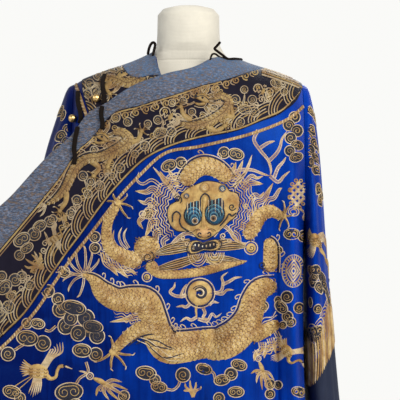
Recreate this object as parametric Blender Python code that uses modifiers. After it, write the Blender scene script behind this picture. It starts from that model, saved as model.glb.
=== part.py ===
"""Chinese dragon robe on a limbless dress form.

Metres, +Z up, floor at z = 0. The robe's front faces -Y, so the wearer's left is +X.
Every cloth piece is a thin wall over a surface worked out from the tables below:
the body sections are splines through named stations at five heights, the shoulders
are quarter arcs that fall from the shoulder line, and each sleeve is a fan of rings
that turns about the armpit and then hangs. Both faces of a wall are lofted from the
same table, so that neighbouring pieces meet in the plane of their seam.
"""
import math

import bmesh
import bpy
import numpy as np
from mathutils import Vector
from mathutils.bvhtree import BVHTree

# Cloth and seams
WALL = 0.0020
BAND_WALL = 0.0010
SEAM = 0.0003
FORM_CLEARANCE = 0.0009

# Shoulder line: distance from the middle, and height
SHOULDER_X = (0.000, 0.050, 0.065, 0.100, 0.160, 0.200, 0.214)
SHOULDER_Z = (1.5250, 1.5235, 1.5145, 1.4975, 1.4770, 1.4615, 1.4545)
SHOULDER_FALL = 0.160
ARMHOLE_X = 0.214
ARMPIT_Z = 1.170
ARMHOLE_DEPTH = 0.080
ARMHOLE_LEAN = 1.7
NECK_LEFT_X = 0.098
NECK_RIGHT_X = -0.064
NECK_ROUNDNESS = 2.6

# Heights of the body sections: hem, knee, hip, armpit, chest
HEIGHTS = (0.115, 0.500, 0.880, 1.170, 1.300)
HEM_Z, CHEST_Z = HEIGHTS[0], HEIGHTS[-1]

# Front overlap: x and y of each station at those heights, from its free edge
# on the wearer's right to the side seam on the wearer's left
OVERLAP = {
    "edge": ((-0.500, -0.445, -0.400, -0.384, -0.384), (-0.185, -0.172, -0.150, -0.132, -0.130)),
    "flap": ((-0.385, -0.335, -0.300, -0.290, -0.290), (-0.232, -0.192, -0.160, -0.139, -0.135)),
    "side_right": ((-0.262, -0.222, -0.200, -0.195, -0.195), (-0.205, -0.188, -0.163, -0.146, -0.140)),
    "breast_right": ((-0.125, -0.107, -0.095, -0.095, -0.095), (-0.240, -0.197, -0.167, -0.150, -0.144)),
    "centre": ((0.020, 0.022, 0.022, 0.020, 0.020), (-0.212, -0.188, -0.165, -0.151, -0.144)),
    "breast_left": ((0.150, 0.125, 0.110, 0.105, 0.105), (-0.240, -0.189, -0.156, -0.143, -0.139)),
    "valley": ((0.232, 0.186, 0.163, 0.160, 0.160), (-0.198, -0.152, -0.122, -0.115, -0.123)),
    "ridge": ((0.300, 0.226, 0.193, 0.189, 0.188), (-0.205, -0.166, -0.139, -0.129, -0.120)),
    "flank": ((0.352, 0.248, 0.212, 0.2105, 0.208), (-0.120, -0.095, -0.083, -0.073, -0.098)),
    "side": ((0.372, 0.258, 0.2165, 0.2140, 0.2140), (0.0, 0.0, 0.0, 0.0, 0.0)),
}

# Under front, from its free edge behind the overlap to the wearer's right side seam
UNDER = {
    "edge": ((0.090, 0.060, 0.045, 0.040, 0.040), (-0.175, -0.150, -0.135, -0.120, -0.119)),
    "centre": ((-0.020, -0.020, -0.020, -0.020, -0.020), (-0.188, -0.158, -0.138, -0.126, -0.124)),
    "breast": ((-0.140, -0.110, -0.095, -0.092, -0.092), (-0.195, -0.162, -0.137, -0.125, -0.125)),
    "outer": ((-0.255, -0.190, -0.165, -0.160, -0.160), (-0.165, -0.138, -0.120, -0.111, -0.117)),
    "flank": ((-0.335, -0.240, -0.206, -0.2030, -0.2000), (-0.100, -0.080, -0.072, -0.066, -0.098)),
    "side": ((-0.365, -0.256, -0.2165, -0.2140, -0.2140), (0.0, 0.0, 0.0, 0.0, 0.0)),
}

# Back, from the wearer's left side seam to the right one
BACK = {
    "side_left": ((0.372, 0.258, 0.2165, 0.2140, 0.2140), (0.0, 0.0, 0.0, 0.0, 0.0)),
    "flank_left": ((0.348, 0.243, 0.207, 0.2040, 0.2050), (0.120, 0.090, 0.076, 0.068, 0.085)),
    "blade_left": ((0.262, 0.197, 0.166, 0.160, 0.160), (0.205, 0.160, 0.128, 0.114, 0.112)),
    "mid_left": ((0.130, 0.095, 0.075, 0.070, 0.070), (0.215, 0.172, 0.139, 0.125, 0.119)),
    "centre": ((0.000, 0.000, 0.000, 0.000, 0.000), (0.238, 0.180, 0.142, 0.127, 0.120)),
    "mid_right": ((-0.120, -0.092, -0.075, -0.070, -0.070), (0.212, 0.171, 0.139, 0.125, 0.119)),
    "blade_right": ((-0.258, -0.196, -0.166, -0.160, -0.160), (0.212, 0.160, 0.128, 0.114, 0.112)),
    "flank_right": ((-0.340, -0.241, -0.207, -0.2040, -0.2050), (0.115, 0.090, 0.076, 0.068, 0.085)),
    "side_right": ((-0.365, -0.256, -0.2165, -0.2140, -0.2140), (0.0, 0.0, 0.0, 0.0, 0.0)),
}

# Top edge of the overlap: shoulder, neckline, then the diagonal to the underarm corner
OVERLAP_EDGE_X = (-0.384, -0.331, -0.317, -0.267, -0.242, -0.201, -0.185, -0.144,
                  -0.109, -0.038, 0.022, 0.040, 0.085, 0.098)
OVERLAP_EDGE_Z = (1.170, 1.2234, 1.2358, 1.2906, 1.3172, 1.3568, 1.3817, 1.4090,
                  1.4327, 1.4590, 1.4772, 1.4885, 1.4960, 1.4983)
# The two closures pull the edge back: x, z of the pull, its depth and its reach
CLOSURE_PULLS = ((-0.200, 1.357, 0.012, 0.070), (-0.144, 1.409, 0.010, 0.060))

# Lower edges of the trim and of the dark border on the overlap
TRIM_X = (-0.420, -0.384, -0.332, -0.258, -0.219, -0.198, -0.170, -0.138, -0.085,
          -0.007, 0.022, 0.057, 0.127, 0.150)
TRIM_Z = (1.041, 1.083, 1.1455, 1.234, 1.284, 1.318, 1.344, 1.3835, 1.401,
          1.425, 1.4356, 1.445, 1.474, 1.484)
BORDER_X = (-0.440, -0.384, -0.323, -0.285, -0.252, -0.211, -0.184, -0.142, -0.106,
            -0.072, -0.029, 0.022, 0.089, 0.131, 0.170, 0.206, 0.2139)
BORDER_Z = (0.857, 0.925, 0.996, 1.034, 1.081, 1.140, 1.176, 1.234, 1.275,
            1.306, 1.3275, 1.3425, 1.3565, 1.3736, 1.3914, 1.430, 1.448)

# The same edges on the under front and on the back
UNDER_TRIM = ((-0.128, 1.500), (-0.118, 1.468), (-0.095, 1.445), (-0.050, 1.425), (0.060, 1.400))
UNDER_BORDER = ((-0.2025, 1.470), (-0.192, 1.430), (-0.178, 1.390), (-0.150, 1.350),
                (-0.100, 1.320), (0.060, 1.300))
BACK_TRIM_HALF_WIDTH = 0.125
BACK_TRIM_BOTTOM_Z = 1.463
BACK_BORDER_HALF_WIDTH = 0.203
BACK_BORDER_BOTTOM_Z = 1.355

# Sleeve rings: outer x and z, inner x and z, and half depth, from armhole to cuff
SLEEVE_RINGS = (
    ("armhole", 0.2143, 1.4545, 0.2143, 1.1700, 0.080),
    ("cap", 0.2265, 1.4450, 0.2146, 1.1670, 0.084),
    ("upper", 0.2350, 1.4130, 0.2150, 1.1620, 0.089),
    ("upper", 0.2420, 1.3700, 0.2154, 1.1530, 0.094),
    ("upper", 0.2480, 1.3150, 0.2158, 1.1400, 0.098),
    ("upper", 0.2530, 1.2500, 0.2163, 1.1180, 0.100),
    ("elbow", 0.2580, 1.1750, 0.2170, 1.0830, 0.100),
    ("elbow", 0.2640, 1.0950, 0.2180, 1.0300, 0.097),
    ("seam", 0.2720, 1.0100, 0.2200, 0.9250, 0.092),
    ("lower", 0.2790, 0.9300, 0.2240, 0.8600, 0.085),
    ("lower", 0.2880, 0.8400, 0.2320, 0.7800, 0.077),
    ("wrist", 0.3010, 0.7400, 0.2450, 0.6900, 0.069),
    ("cuff", 0.3140, 0.6400, 0.2600, 0.6000, 0.063),
)
SLEEVE_SEAM_RING = 8
SLEEVE_SEAM_SHIFT = 0.012
RIGHT_SLEEVE_SPREAD = (0.0, 0.002, 0.006, 0.014, 0.024, 0.032, 0.037, 0.037, 0.034,
                       0.031, 0.027, 0.022, 0.016)

# Dress form: neck and torso rings, z, half width, front depth and back depth
FORM_NECK_RINGS = (
    (1.5990, 0.0300, 0.0290, 0.0290),
    (1.5930, 0.0500, 0.0475, 0.0475),
    (1.5830, 0.0585, 0.0545, 0.0545),
    (1.5500, 0.0590, 0.0545, 0.0545),
    (1.5250, 0.0590, 0.0530, 0.0510),
    (1.5110, 0.0610, 0.0480, 0.0460),
)
# Its shoulders: distance from the middle, extra drop below the cloth, front and back depth
FORM_SHOULDER_RINGS = (
    (0.080, 0.0060, 0.0470, 0.0440),
    (0.095, 0.0050, 0.0470, 0.0440),
    (0.110, 0.0030, 0.0480, 0.0450),
    (0.130, 0.0010, 0.0500, 0.0460),
    (0.150, 0.0000, 0.0530, 0.0490),
    (0.170, 0.0000, 0.0570, 0.0520),
    (0.185, 0.0000, 0.0600, 0.0550),
)
FORM_TORSO_RINGS = (
    (1.4450, 0.1930, 0.0720, 0.0640),
    (1.4100, 0.1880, 0.0860, 0.0750),
    (1.3500, 0.1740, 0.0970, 0.0850),
    (1.2600, 0.1640, 0.1040, 0.0900),
    (1.1600, 0.1450, 0.0960, 0.0850),
    (1.0500, 0.1300, 0.0880, 0.0800),
    (0.9300, 0.1620, 0.1040, 0.0980),
    (0.8400, 0.1680, 0.1080, 0.1060),
    (0.8000, 0.1640, 0.1040, 0.1020),
)
FORM_TOP_Z = 1.6010
FORM_ROUNDNESS = 2.2
POLE_RADIUS = 0.016
BASE_RADIUS = 0.200
BASE_HEIGHT = 0.016
COLLAR_RADIUS = 0.030
COLLAR_HEIGHT = 0.040

# Neck opening of the under front and of the back: its share of the shoulder arc's depth
UNDER_NECK_DEPTH = 0.78
BACK_NECK_DEPTH = 0.46

# Outlines that cut the bands: a height above the shoulders, the reach of a cut along Y, where
# the border starts at the shoulder, and the height that the back's ovals are centred on
ABOVE_SHOULDERS_Z = 1.60
CUT_NEAR_Y = 0.0002
CUT_FAR_Y = 0.40
BORDER_SHOULDER_X = 0.156
BACK_OVAL_Z = 1.500

# Ball-and-loop closures. Each row: name, strap on the under layer, ball, and loop strap on the
# overlap, as x and z of points that are seated on the cloth behind them
BALL_RADIUS = 0.0075
BALL_CLEARANCE = 0.0006
STRAP_RADIUS = 0.0026
STRAP_CLEARANCE = 0.0009
CLOSURES = (
    ("shoulder", ((-0.152, 1.462), (-0.156, 1.444), (-0.160, 1.428)), (-0.162, 1.414),
     ((-0.1560, 1.398), (-0.1530, 1.384), (-0.1500, 1.370), (-0.1500, 1.358))),
    ("arm", ((-0.200, 1.432), (-0.2015, 1.412), (-0.203, 1.394)), (-0.2045, 1.380),
     ((-0.2010, 1.343), (-0.2000, 1.326), (-0.1990, 1.310), (-0.2000, 1.296))),
)

# Small cord loops at the neck. Each row: name, its two feet on the cloth as x and z, and its
# other points as offsets from the first foot
LOOP_RADIUS = 0.0016
NECK_LOOPS = (
    ("neck_loop_right", (-0.0740, 1.5035), (-0.0660, 1.5050),
     ((-0.0010, -0.0050, 0.0080), (0.0020, -0.0070, 0.0190), (0.0060, -0.0070, 0.0220),
      (0.0085, -0.0050, 0.0110))),
    ("neck_loop_left", (0.1010, 1.4900), (0.0890, 1.4915),
     ((-0.0050, -0.0070, 0.0070), (-0.0170, -0.0110, 0.0160), (-0.0270, -0.0130, 0.0230),
      (-0.0240, -0.0120, 0.0160))),
)
SEATING_STEPS = 12

# Mesh spacing
PER_STATION = 4
OVERLAP_ROWS = 22
BACK_ROWS = 18
UNDER_ROWS = 15
SLEEVE_AROUND = 18
UPPER_SLEEVE_ROWS = 14
LOWER_SLEEVE_ROWS = 5
FORM_AROUND = 24
ROW_CROWDING = 1.75

COLOURS = {
    "blue_satin": ((0.010, 0.035, 0.330), 0.45, 0.0),
    "dark_satin": ((0.012, 0.012, 0.020), 0.55, 0.0),
    "grey_blue_trim": ((0.110, 0.170, 0.300), 0.70, 0.0),
    "navy_sleeve": ((0.012, 0.018, 0.040), 0.60, 0.0),
    "form_cloth": ((0.740, 0.700, 0.600), 0.80, 0.0),
    "form_metal": ((0.600, 0.600, 0.600), 0.30, 1.0),
    "black_cord": ((0.010, 0.010, 0.010), 0.70, 0.0),
    "gilt_ball": ((0.800, 0.560, 0.200), 0.30, 1.0),
}


def smooth(at, stops, values):
    """Cubic curve through values at rising stops, level with the end value beyond them."""
    at = np.asarray(at, float)
    stops = np.asarray(stops, float)
    values = np.asarray(values, float)
    slopes = np.gradient(values, stops)
    inside = np.clip(at, stops[0], stops[-1])
    i = np.clip(np.searchsorted(stops, inside, side="right") - 1, 0, len(stops) - 2)
    width = stops[i + 1] - stops[i]
    t = (inside - stops[i]) / width
    start = (1 + 2 * t) * (1 - t) ** 2 * values[i] + t * (1 - t) ** 2 * width * slopes[i]
    end = t * t * (3 - 2 * t) * values[i + 1] + t * t * (t - 1) * width * slopes[i + 1]
    return start + end


def across(k, rows):
    """Uniform Catmull-Rom spline: rows is (stations, ...) and k the station, as a real number."""
    last = rows.shape[0] - 1
    i = np.clip(np.floor(k).astype(int), 0, last - 1)
    t = k - i
    ends = np.concatenate([2 * rows[:1] - rows[1:2], rows, 2 * rows[-1:] - rows[-2:-1]])
    p0, p1, p2, p3 = (np.take_along_axis(ends, (i + n)[None], 0)[0] for n in range(4))
    return 0.5 * (2 * p1 + (p2 - p0) * t + (2 * p0 - 5 * p1 + 4 * p2 - p3) * t ** 2
                  + (3 * p1 - p0 - 3 * p2 + p3) * t ** 3)


def shoulder_z(x):
    """Height of the shoulder line at a distance from the middle."""
    return smooth(np.abs(x), SHOULDER_X, SHOULDER_Z)


def arc(drop):
    """Share of the full depth that the cloth has reached at a drop below the shoulder line."""
    fall = np.clip(drop / SHOULDER_FALL, 0.0, 1.0)
    return np.sqrt(fall * (2 - fall))


def armhole_depth(z):
    """Half depth of the armhole opening at a height: zero at the shoulder tip and the armpit."""
    share = np.clip((z - ARMPIT_Z) / (SHOULDER_Z[-1] - ARMPIT_Z), 0.0, 1.0)
    cosine = 2 * share ** (1 / ARMHOLE_LEAN) - 1
    return ARMHOLE_DEPTH * np.sqrt(np.clip(1 - cosine ** 2, 0.0, 1.0))


def body_point(stations, k, z):
    """Point of a body panel at station k and height z, from its table of stations. The depth
    shrinks along the shoulder arc, and an armhole side keeps to the armhole's own curve."""
    sign = -1.0 if stations["centre"][1][0] < 0 else 1.0
    tip_arc = np.maximum(arc(SHOULDER_Z[-1] - z), 1e-4)
    xs, ys = [], []
    for x, y in stations.values():
        at_armhole = abs(x[-1]) == ARMHOLE_X
        xs.append(smooth(z, HEIGHTS, x))
        ys.append(armhole_depth(z) / tip_arc if at_armhole else np.abs(smooth(z, HEIGHTS, y)))
    point_x = across(k, np.array(xs))
    depth = across(k, np.array(ys)) * arc(shoulder_z(point_x) - z)
    return point_x, sign * (depth + SEAM / 2)


def closure_pull(x, z):
    """How far the two closures draw the overlap's edge back towards the body."""
    pull = np.zeros_like(x)
    for pull_x, pull_z, depth, reach in CLOSURE_PULLS:
        pull += depth * np.exp(-((x - pull_x) ** 2 + (z - pull_z) ** 2) / reach ** 2)
    return pull


def overlap_top(x):
    """Height of the overlap's upper boundary at x: its edge and neckline, then the shoulder."""
    return np.where(x < NECK_LEFT_X, smooth(x, OVERLAP_EDGE_X, OVERLAP_EDGE_Z), shoulder_z(x))


def neck_top(x, depth):
    """Height of the neckline on the arc of the shoulders: a full oval seen from above."""
    middle = (NECK_LEFT_X + NECK_RIGHT_X) / 2
    half = (NECK_LEFT_X - NECK_RIGHT_X) / 2
    inside = np.clip(1 - np.abs((x - middle) / half) ** NECK_ROUNDNESS, 0.0, 1.0)
    share = np.clip(depth * inside ** (1 / NECK_ROUNDNESS), 0.0, 0.98)
    return shoulder_z(x) - SHOULDER_FALL * (1 - np.sqrt(1 - share ** 2))


def under_top(x):
    """Height of the under front's upper boundary at x: the neckline, then the shoulder."""
    return np.where(x > NECK_RIGHT_X, neck_top(x, UNDER_NECK_DEPTH), shoulder_z(x))


def back_top(x):
    """Height of the back's upper boundary at x: the neckline between the two shoulders."""
    at_neck = (x > NECK_RIGHT_X) & (x < NECK_LEFT_X)
    return np.where(at_neck, neck_top(x, BACK_NECK_DEPTH), shoulder_z(x))


def panel_grid(stations, top_of, rows, pull=None, per_station=PER_STATION):
    """Grid of points over a body panel. Each column runs down from the panel's top boundary
    to the hem, with its rows at equal shares of the column's length, crowded at the top."""
    columns = per_station * (len(stations) - 1) + 1
    k = np.linspace(0, len(stations) - 1, columns)
    chest_x, _ = body_point(stations, k, np.full(columns, CHEST_Z))
    top = top_of(chest_x)
    share = np.linspace(0, 1, 240)[:, None]
    z = top - (top - HEM_Z) * share ** 2
    x, y = body_point(stations, np.broadcast_to(k, z.shape), z)
    if pull:
        y = y + pull(x, z)
    fine = np.stack([x, y, z], -1)
    steps = np.linalg.norm(np.diff(fine, axis=0), axis=-1)
    run = np.concatenate([np.zeros((1, columns)), np.cumsum(steps, 0)])
    wanted = np.linspace(0, 1, rows + 1) ** ROW_CROWDING
    grid = np.empty((rows + 1, columns, 3))
    for c in range(columns):
        for axis in range(3):
            grid[:, c, axis] = np.interp(wanted * run[-1, c], run[:, c], fine[:, c, axis])
    return grid


def sleeve_grid(side, first, last, rows, inset=0.0):
    """Rings of a sleeve between two rows of its table, or their inner face if inset. Each ring
    is an oval whose outer point is on the shoulder's fold, whose inner point is at the
    underarm seam, and which is deepest nearer the body."""
    table = np.array([ring[1:] for ring in SLEEVE_RINGS])
    if side < 0:
        table[:, 0] += np.array(RIGHT_SLEEVE_SPREAD)
    w = np.linspace(first, last, rows + 1)
    outer_x, outer_z, inner_x, inner_z, depth = (
        smooth(w, np.arange(len(table)), table[:, c])[:, None] for c in range(5))
    width = np.hypot(outer_x - inner_x, outer_z - inner_z)
    theta = np.linspace(0, 2 * math.pi, SLEEVE_AROUND, endpoint=False)[None, :]
    share = ((1 + np.cos(theta)) / 2) ** ARMHOLE_LEAN
    share = (share * (width - 2 * inset) + inset) / width
    x = inner_x + (outer_x - inner_x) * share
    y = -(depth - inset) * np.sin(theta)
    z = inner_z + (outer_z - inner_z) * share
    return np.stack([side * x, y, z], -1)


def material(name):
    """Plain Principled material from the colour table."""
    found = bpy.data.materials.get(name)
    if found:
        return found
    colour, roughness, metallic = COLOURS[name]
    made = bpy.data.materials.new(name)
    made.use_nodes = True
    shader = made.node_tree.nodes["Principled BSDF"]
    shader.inputs["Base Color"].default_value = (*colour, 1.0)
    shader.inputs["Roughness"].default_value = roughness
    shader.inputs["Metallic"].default_value = metallic
    return made


def add_object(name, mesh, slot, home):
    """Links a mesh as an object of the collection, with its material, shaded smooth."""
    made = bpy.data.objects.new(name, mesh)
    home.objects.link(made)
    mesh.materials.append(material(slot))
    mesh.shade_smooth()
    mesh.set_sharp_from_angle(angle=math.radians(40))
    return made


def outward_normals(grid):
    """Unit normals of an open grid of points, leading away from the body's upright axis."""
    normals = np.cross(np.gradient(grid, axis=1), np.gradient(grid, axis=0))
    normals /= np.linalg.norm(normals, axis=-1, keepdims=True)
    away = grid * (1.0, 1.0, 0.0)
    return normals * np.sign((normals * away).sum())


def moved(grid, distance):
    """The grid moved along its normals. Points on a seam stay in the plane of that seam:
    the shoulder and side seams at the middle of the depth, the armholes at their own x."""
    result = grid + outward_normals(grid) * distance
    on_seam = np.abs(grid[..., 1]) < SEAM
    result[..., 1] = np.where(on_seam, grid[..., 1], result[..., 1])
    in_body = (np.abs(grid[..., 0]) < ARMHOLE_X + 1e-6) & (grid[..., 2] > ARMPIT_Z - SEAM)
    limit = np.clip(result[..., 0], -ARMHOLE_X, ARMHOLE_X)
    result[..., 0] = np.where(in_body, limit, result[..., 0])
    result[-1, :, 2] = grid[-1, :, 2]
    return result


def wall(name, outer, inner, slot, home, closed=False):
    """A closed wall between two grids of the same shape, with a rim along every open edge.
    Its quads are split along one diagonal, so that what lies on it can match its facets."""
    rows, columns = outer.shape[:2]
    count = rows * columns
    index = np.arange(count).reshape(rows, columns)
    if closed:
        index = np.concatenate([index, index[:, :1]], 1)
    a, b, c, d = index[:-1, :-1], index[1:, :-1], index[1:, 1:], index[:-1, 1:]
    sheet = np.concatenate([np.stack([a, b, c], -1).reshape(-1, 3),
                            np.stack([a, c, d], -1).reshape(-1, 3)])
    edges = [index[0, ::-1], index[-1]]
    if not closed:
        edges += [index[:, 0], index[::-1, -1]]
    rims = []
    for edge in edges:
        near, far = edge[:-1], edge[1:]
        rims.append(np.stack([far, near, near + count], -1))
        rims.append(np.stack([far, near + count, far + count], -1))
    faces = np.concatenate([sheet, sheet[:, ::-1] + count, *rims])
    mesh = bpy.data.meshes.new(name)
    points = np.concatenate([outer.reshape(-1, 3), inner.reshape(-1, 3)])
    mesh.from_pydata(points.tolist(), [], faces.tolist())
    model = bmesh.new()
    model.from_mesh(mesh)
    if model.calc_volume(signed=True) < 0:
        bmesh.ops.reverse_faces(model, faces=model.faces)
    model.to_mesh(mesh)
    model.free()
    return add_object(name, mesh, slot, home)


def cutter_prism(name, outline, front, cutters):
    """A prism along Y over an outline in x and z, in front of the shoulder line or behind it."""
    sign = -1.0 if front else 1.0
    near, far = sign * CUT_NEAR_Y, sign * CUT_FAR_Y
    mesh = bpy.data.meshes.new(name)
    model = bmesh.new()
    ring = [model.verts.new((x, near, z)) for x, z in outline]
    face = model.faces.new(ring)
    swept = bmesh.ops.extrude_face_region(model, geom=[face])
    moved = [item for item in swept["geom"] if isinstance(item, bmesh.types.BMVert)]
    bmesh.ops.translate(model, verts=moved, vec=(0.0, far - near, 0.0))
    bmesh.ops.recalc_face_normals(model, faces=model.faces)
    model.to_mesh(mesh)
    model.free()
    made = bpy.data.objects.new(name, mesh)
    cutters.objects.link(made)
    made.hide_render = True
    made.display_type = "WIRE"
    return made


def applied_band(name, grid, outline, front, slot, home, cutters):
    """A band that lies on a panel: the panel's own points moved out, kept inside an outline."""
    made = wall(name, moved(grid, SEAM + BAND_WALL), moved(grid, SEAM), slot, home)
    cut = made.modifiers.new("outline", "BOOLEAN")
    cut.operation = "INTERSECT"
    cut.solver = "EXACT"
    cut.object = cutter_prism(name + "_outline", outline, front, cutters)
    return made


def between(upper, lower):
    """Outline between an upper and a lower line, each a list of (x, z) from left to right."""
    return list(upper) + list(reversed(lower))


def top_line(left, right):
    """A straight line above the garment, for an outline that the panel's own edge ends."""
    return [(left, ABOVE_SHOULDERS_Z), (right, ABOVE_SHOULDERS_Z)]


def front_bands(grid, home, cutters):
    """Trim and dark border along the overlap's neckline and diagonal edge."""
    trim_low = list(zip(TRIM_X, TRIM_Z))
    border_high = [(x, z - SEAM) for x, z in trim_low]
    border_low = list(zip(BORDER_X, BORDER_Z))
    trim_outline = between(top_line(trim_low[0][0], trim_low[-1][0]), trim_low)
    border_outline = between(border_high + top_line(BORDER_SHOULDER_X, BORDER_X[-1]), border_low)
    applied_band("trim_front", grid, trim_outline, True, "grey_blue_trim", home, cutters)
    applied_band("border_front", grid, border_outline, True, "dark_satin", home, cutters)


def under_bands(grid, home, cutters):
    """Trim and dark border on the under front, which show at the wearer's right shoulder."""
    left, right = UNDER_TRIM[0][0], UNDER_TRIM[-1][0]
    trim_outline = between(top_line(left, right), UNDER_TRIM)
    border_outline = [(x - SEAM, z - SEAM) for x, z in UNDER_TRIM[::-1]]
    border_outline += top_line(left - SEAM, UNDER_BORDER[0][0])
    border_outline += list(UNDER_BORDER)
    applied_band("trim_under", grid, trim_outline, True, "grey_blue_trim", home, cutters)
    applied_band("border_under", grid, border_outline, True, "dark_satin", home, cutters)


def half_oval(half_width, bottom_z, steps=16):
    """Lower half of an oval about the middle, from left to right, rising above the shoulders."""
    rise = BACK_OVAL_Z - bottom_z
    angles = np.linspace(math.pi, 2 * math.pi, steps)
    return [(half_width * math.cos(a), BACK_OVAL_Z + rise * math.sin(a)) for a in angles]


def back_bands(grid, home, cutters):
    """Trim and dark border round the back of the neck."""
    trim_low = half_oval(BACK_TRIM_HALF_WIDTH, BACK_TRIM_BOTTOM_Z)
    border_high = half_oval(BACK_TRIM_HALF_WIDTH + SEAM, BACK_TRIM_BOTTOM_Z - SEAM)
    border_low = half_oval(BACK_BORDER_HALF_WIDTH, BACK_BORDER_BOTTOM_Z)
    trim_outline = between(top_line(trim_low[0][0], trim_low[-1][0]), trim_low)
    border_outline = top_line(border_low[0][0], border_high[0][0]) + border_high
    border_outline += top_line(border_high[-1][0], border_low[-1][0]) + border_low[::-1]
    applied_band("trim_back", grid, trim_outline, False, "grey_blue_trim", home, cutters)
    applied_band("border_back", grid, border_outline, False, "dark_satin", home, cutters)


def sleeves(home):
    """Upper sleeves to the loom's width, and the darker lower sleeves below them."""
    last = len(SLEEVE_RINGS) - 1
    for side, name in ((1, "left"), (-1, "right")):
        upper = (side, 0, SLEEVE_SEAM_RING, UPPER_SLEEVE_ROWS)
        lower = (side, SLEEVE_SEAM_RING + SLEEVE_SEAM_SHIFT, last, LOWER_SLEEVE_ROWS)
        for part, span, slot in (("upper", upper, "blue_satin"), ("lower", lower, "navy_sleeve")):
            wall(f"sleeve_{name}_{part}", sleeve_grid(*span), sleeve_grid(*span, inset=WALL),
                 slot, home, closed=True)


def dress_form(home):
    """Torso and neck as one closed loft of ovals, on a pole with a collar and a round base."""
    rings = list(FORM_NECK_RINGS)
    drop = WALL + FORM_CLEARANCE
    for x, lower, front, back in FORM_SHOULDER_RINGS:
        rings.append((float(shoulder_z(x)) - drop - lower, x, front, back))
    rings += list(FORM_TORSO_RINGS)
    angles = np.linspace(0, 2 * math.pi, FORM_AROUND, endpoint=False)
    power = 2 / FORM_ROUNDNESS
    across_x = np.sign(np.cos(angles)) * np.abs(np.cos(angles)) ** power
    across_y = np.sign(np.sin(angles)) * np.abs(np.sin(angles)) ** power
    model = bmesh.new()
    loops = []
    for z, half, front, back in rings:
        depth = np.where(across_y < 0, front, back)
        loops.append([model.verts.new((half * u, d * v, z))
                      for u, v, d in zip(across_x, across_y, depth)])
    for upper, lower in zip(loops, loops[1:]):
        for i in range(FORM_AROUND):
            j = (i + 1) % FORM_AROUND
            model.faces.new((upper[i], lower[i], lower[j], upper[j]))
    top = model.verts.new((0.0, 0.0, FORM_TOP_Z))
    for i in range(FORM_AROUND):
        model.faces.new((top, loops[0][i], loops[0][(i + 1) % FORM_AROUND]))
    model.faces.new(loops[-1])
    bmesh.ops.recalc_face_normals(model, faces=model.faces)
    mesh = bpy.data.meshes.new("form_torso")
    model.to_mesh(mesh)
    model.free()
    add_object("form_torso", mesh, "form_cloth", home)
    bottom = FORM_TORSO_RINGS[-1][0]
    turned("form_base", BASE_RADIUS, 0.0, BASE_HEIGHT, 40, "form_metal", home, bevel=0.004)
    turned("form_collar", COLLAR_RADIUS, BASE_HEIGHT + SEAM, BASE_HEIGHT + COLLAR_HEIGHT, 24,
           "form_metal", home)
    turned("form_pole", POLE_RADIUS, BASE_HEIGHT + COLLAR_HEIGHT + SEAM, bottom - SEAM, 20,
           "form_metal", home)


def turned(name, radius, low, high, sides, slot, home, bevel=0.0):
    """A plain upright cylinder, with a rounded rim if bevel is given."""
    model = bmesh.new()
    bmesh.ops.create_cone(model, cap_ends=True, segments=sides, radius1=radius, radius2=radius,
                          depth=high - low)
    mesh = bpy.data.meshes.new(name)
    model.to_mesh(mesh)
    model.free()
    made = add_object(name, mesh, slot, home)
    made.location = (0.0, 0.0, (low + high) / 2)
    if bevel:
        rounding = made.modifiers.new("rim", "BEVEL")
        rounding.width = bevel
        rounding.segments = 2
        rounding.limit_method = "ANGLE"
    return made


def surface_of(objects):
    """One search tree over the finished surfaces of several objects."""
    graph = bpy.context.evaluated_depsgraph_get()
    vertices, faces = [], []
    for item in objects:
        shaped = item.evaluated_get(graph)
        mesh = shaped.to_mesh()
        start = len(vertices)
        vertices += [item.matrix_world @ vertex.co for vertex in mesh.vertices]
        faces += [[start + i for i in polygon.vertices] for polygon in mesh.polygons]
        shaped.to_mesh_clear()
    return BVHTree.FromPolygons(vertices, faces)


def seated(tree, point, clearance):
    """The point at a distance above the surface in front of (x, z), seen from the front."""
    x, z = point
    hit, normal, _, _ = tree.ray_cast(Vector((x, -0.5, z)), Vector((0.0, 1.0, 0.0)))
    if normal.y > 0:
        normal = -normal
    centre = hit + normal * clearance
    for _ in range(SEATING_STEPS):
        nearest, _, _, distance = tree.find_nearest(centre)
        centre += (centre - nearest).normalized() * (clearance - distance)
    return centre


def eased(points, per_step=3):
    """Points of a smooth line through the given ones, which may be flat or in space."""
    points = np.array([tuple(point) for point in points])
    k = np.linspace(0, len(points) - 1, per_step * (len(points) - 1) + 1)
    columns = [np.repeat(points[:, axis:axis + 1], len(k), 1) for axis in range(points.shape[1])]
    return np.stack([across(k, column) for column in columns], -1)


def cord(name, line, radius, slot, home):
    """A round cord along a line of points, as a curve with a bevel and closed ends."""
    curve = bpy.data.curves.new(name, "CURVE")
    curve.dimensions = "3D"
    curve.bevel_depth = radius
    curve.bevel_resolution = 1
    curve.use_fill_caps = True
    spline = curve.splines.new("POLY")
    spline.points.add(len(line) - 1)
    for target, position in zip(spline.points, line):
        target.co = (*position, 1.0)
    made = bpy.data.objects.new(name, curve)
    home.objects.link(made)
    curve.materials.append(material(slot))
    return made


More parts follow.
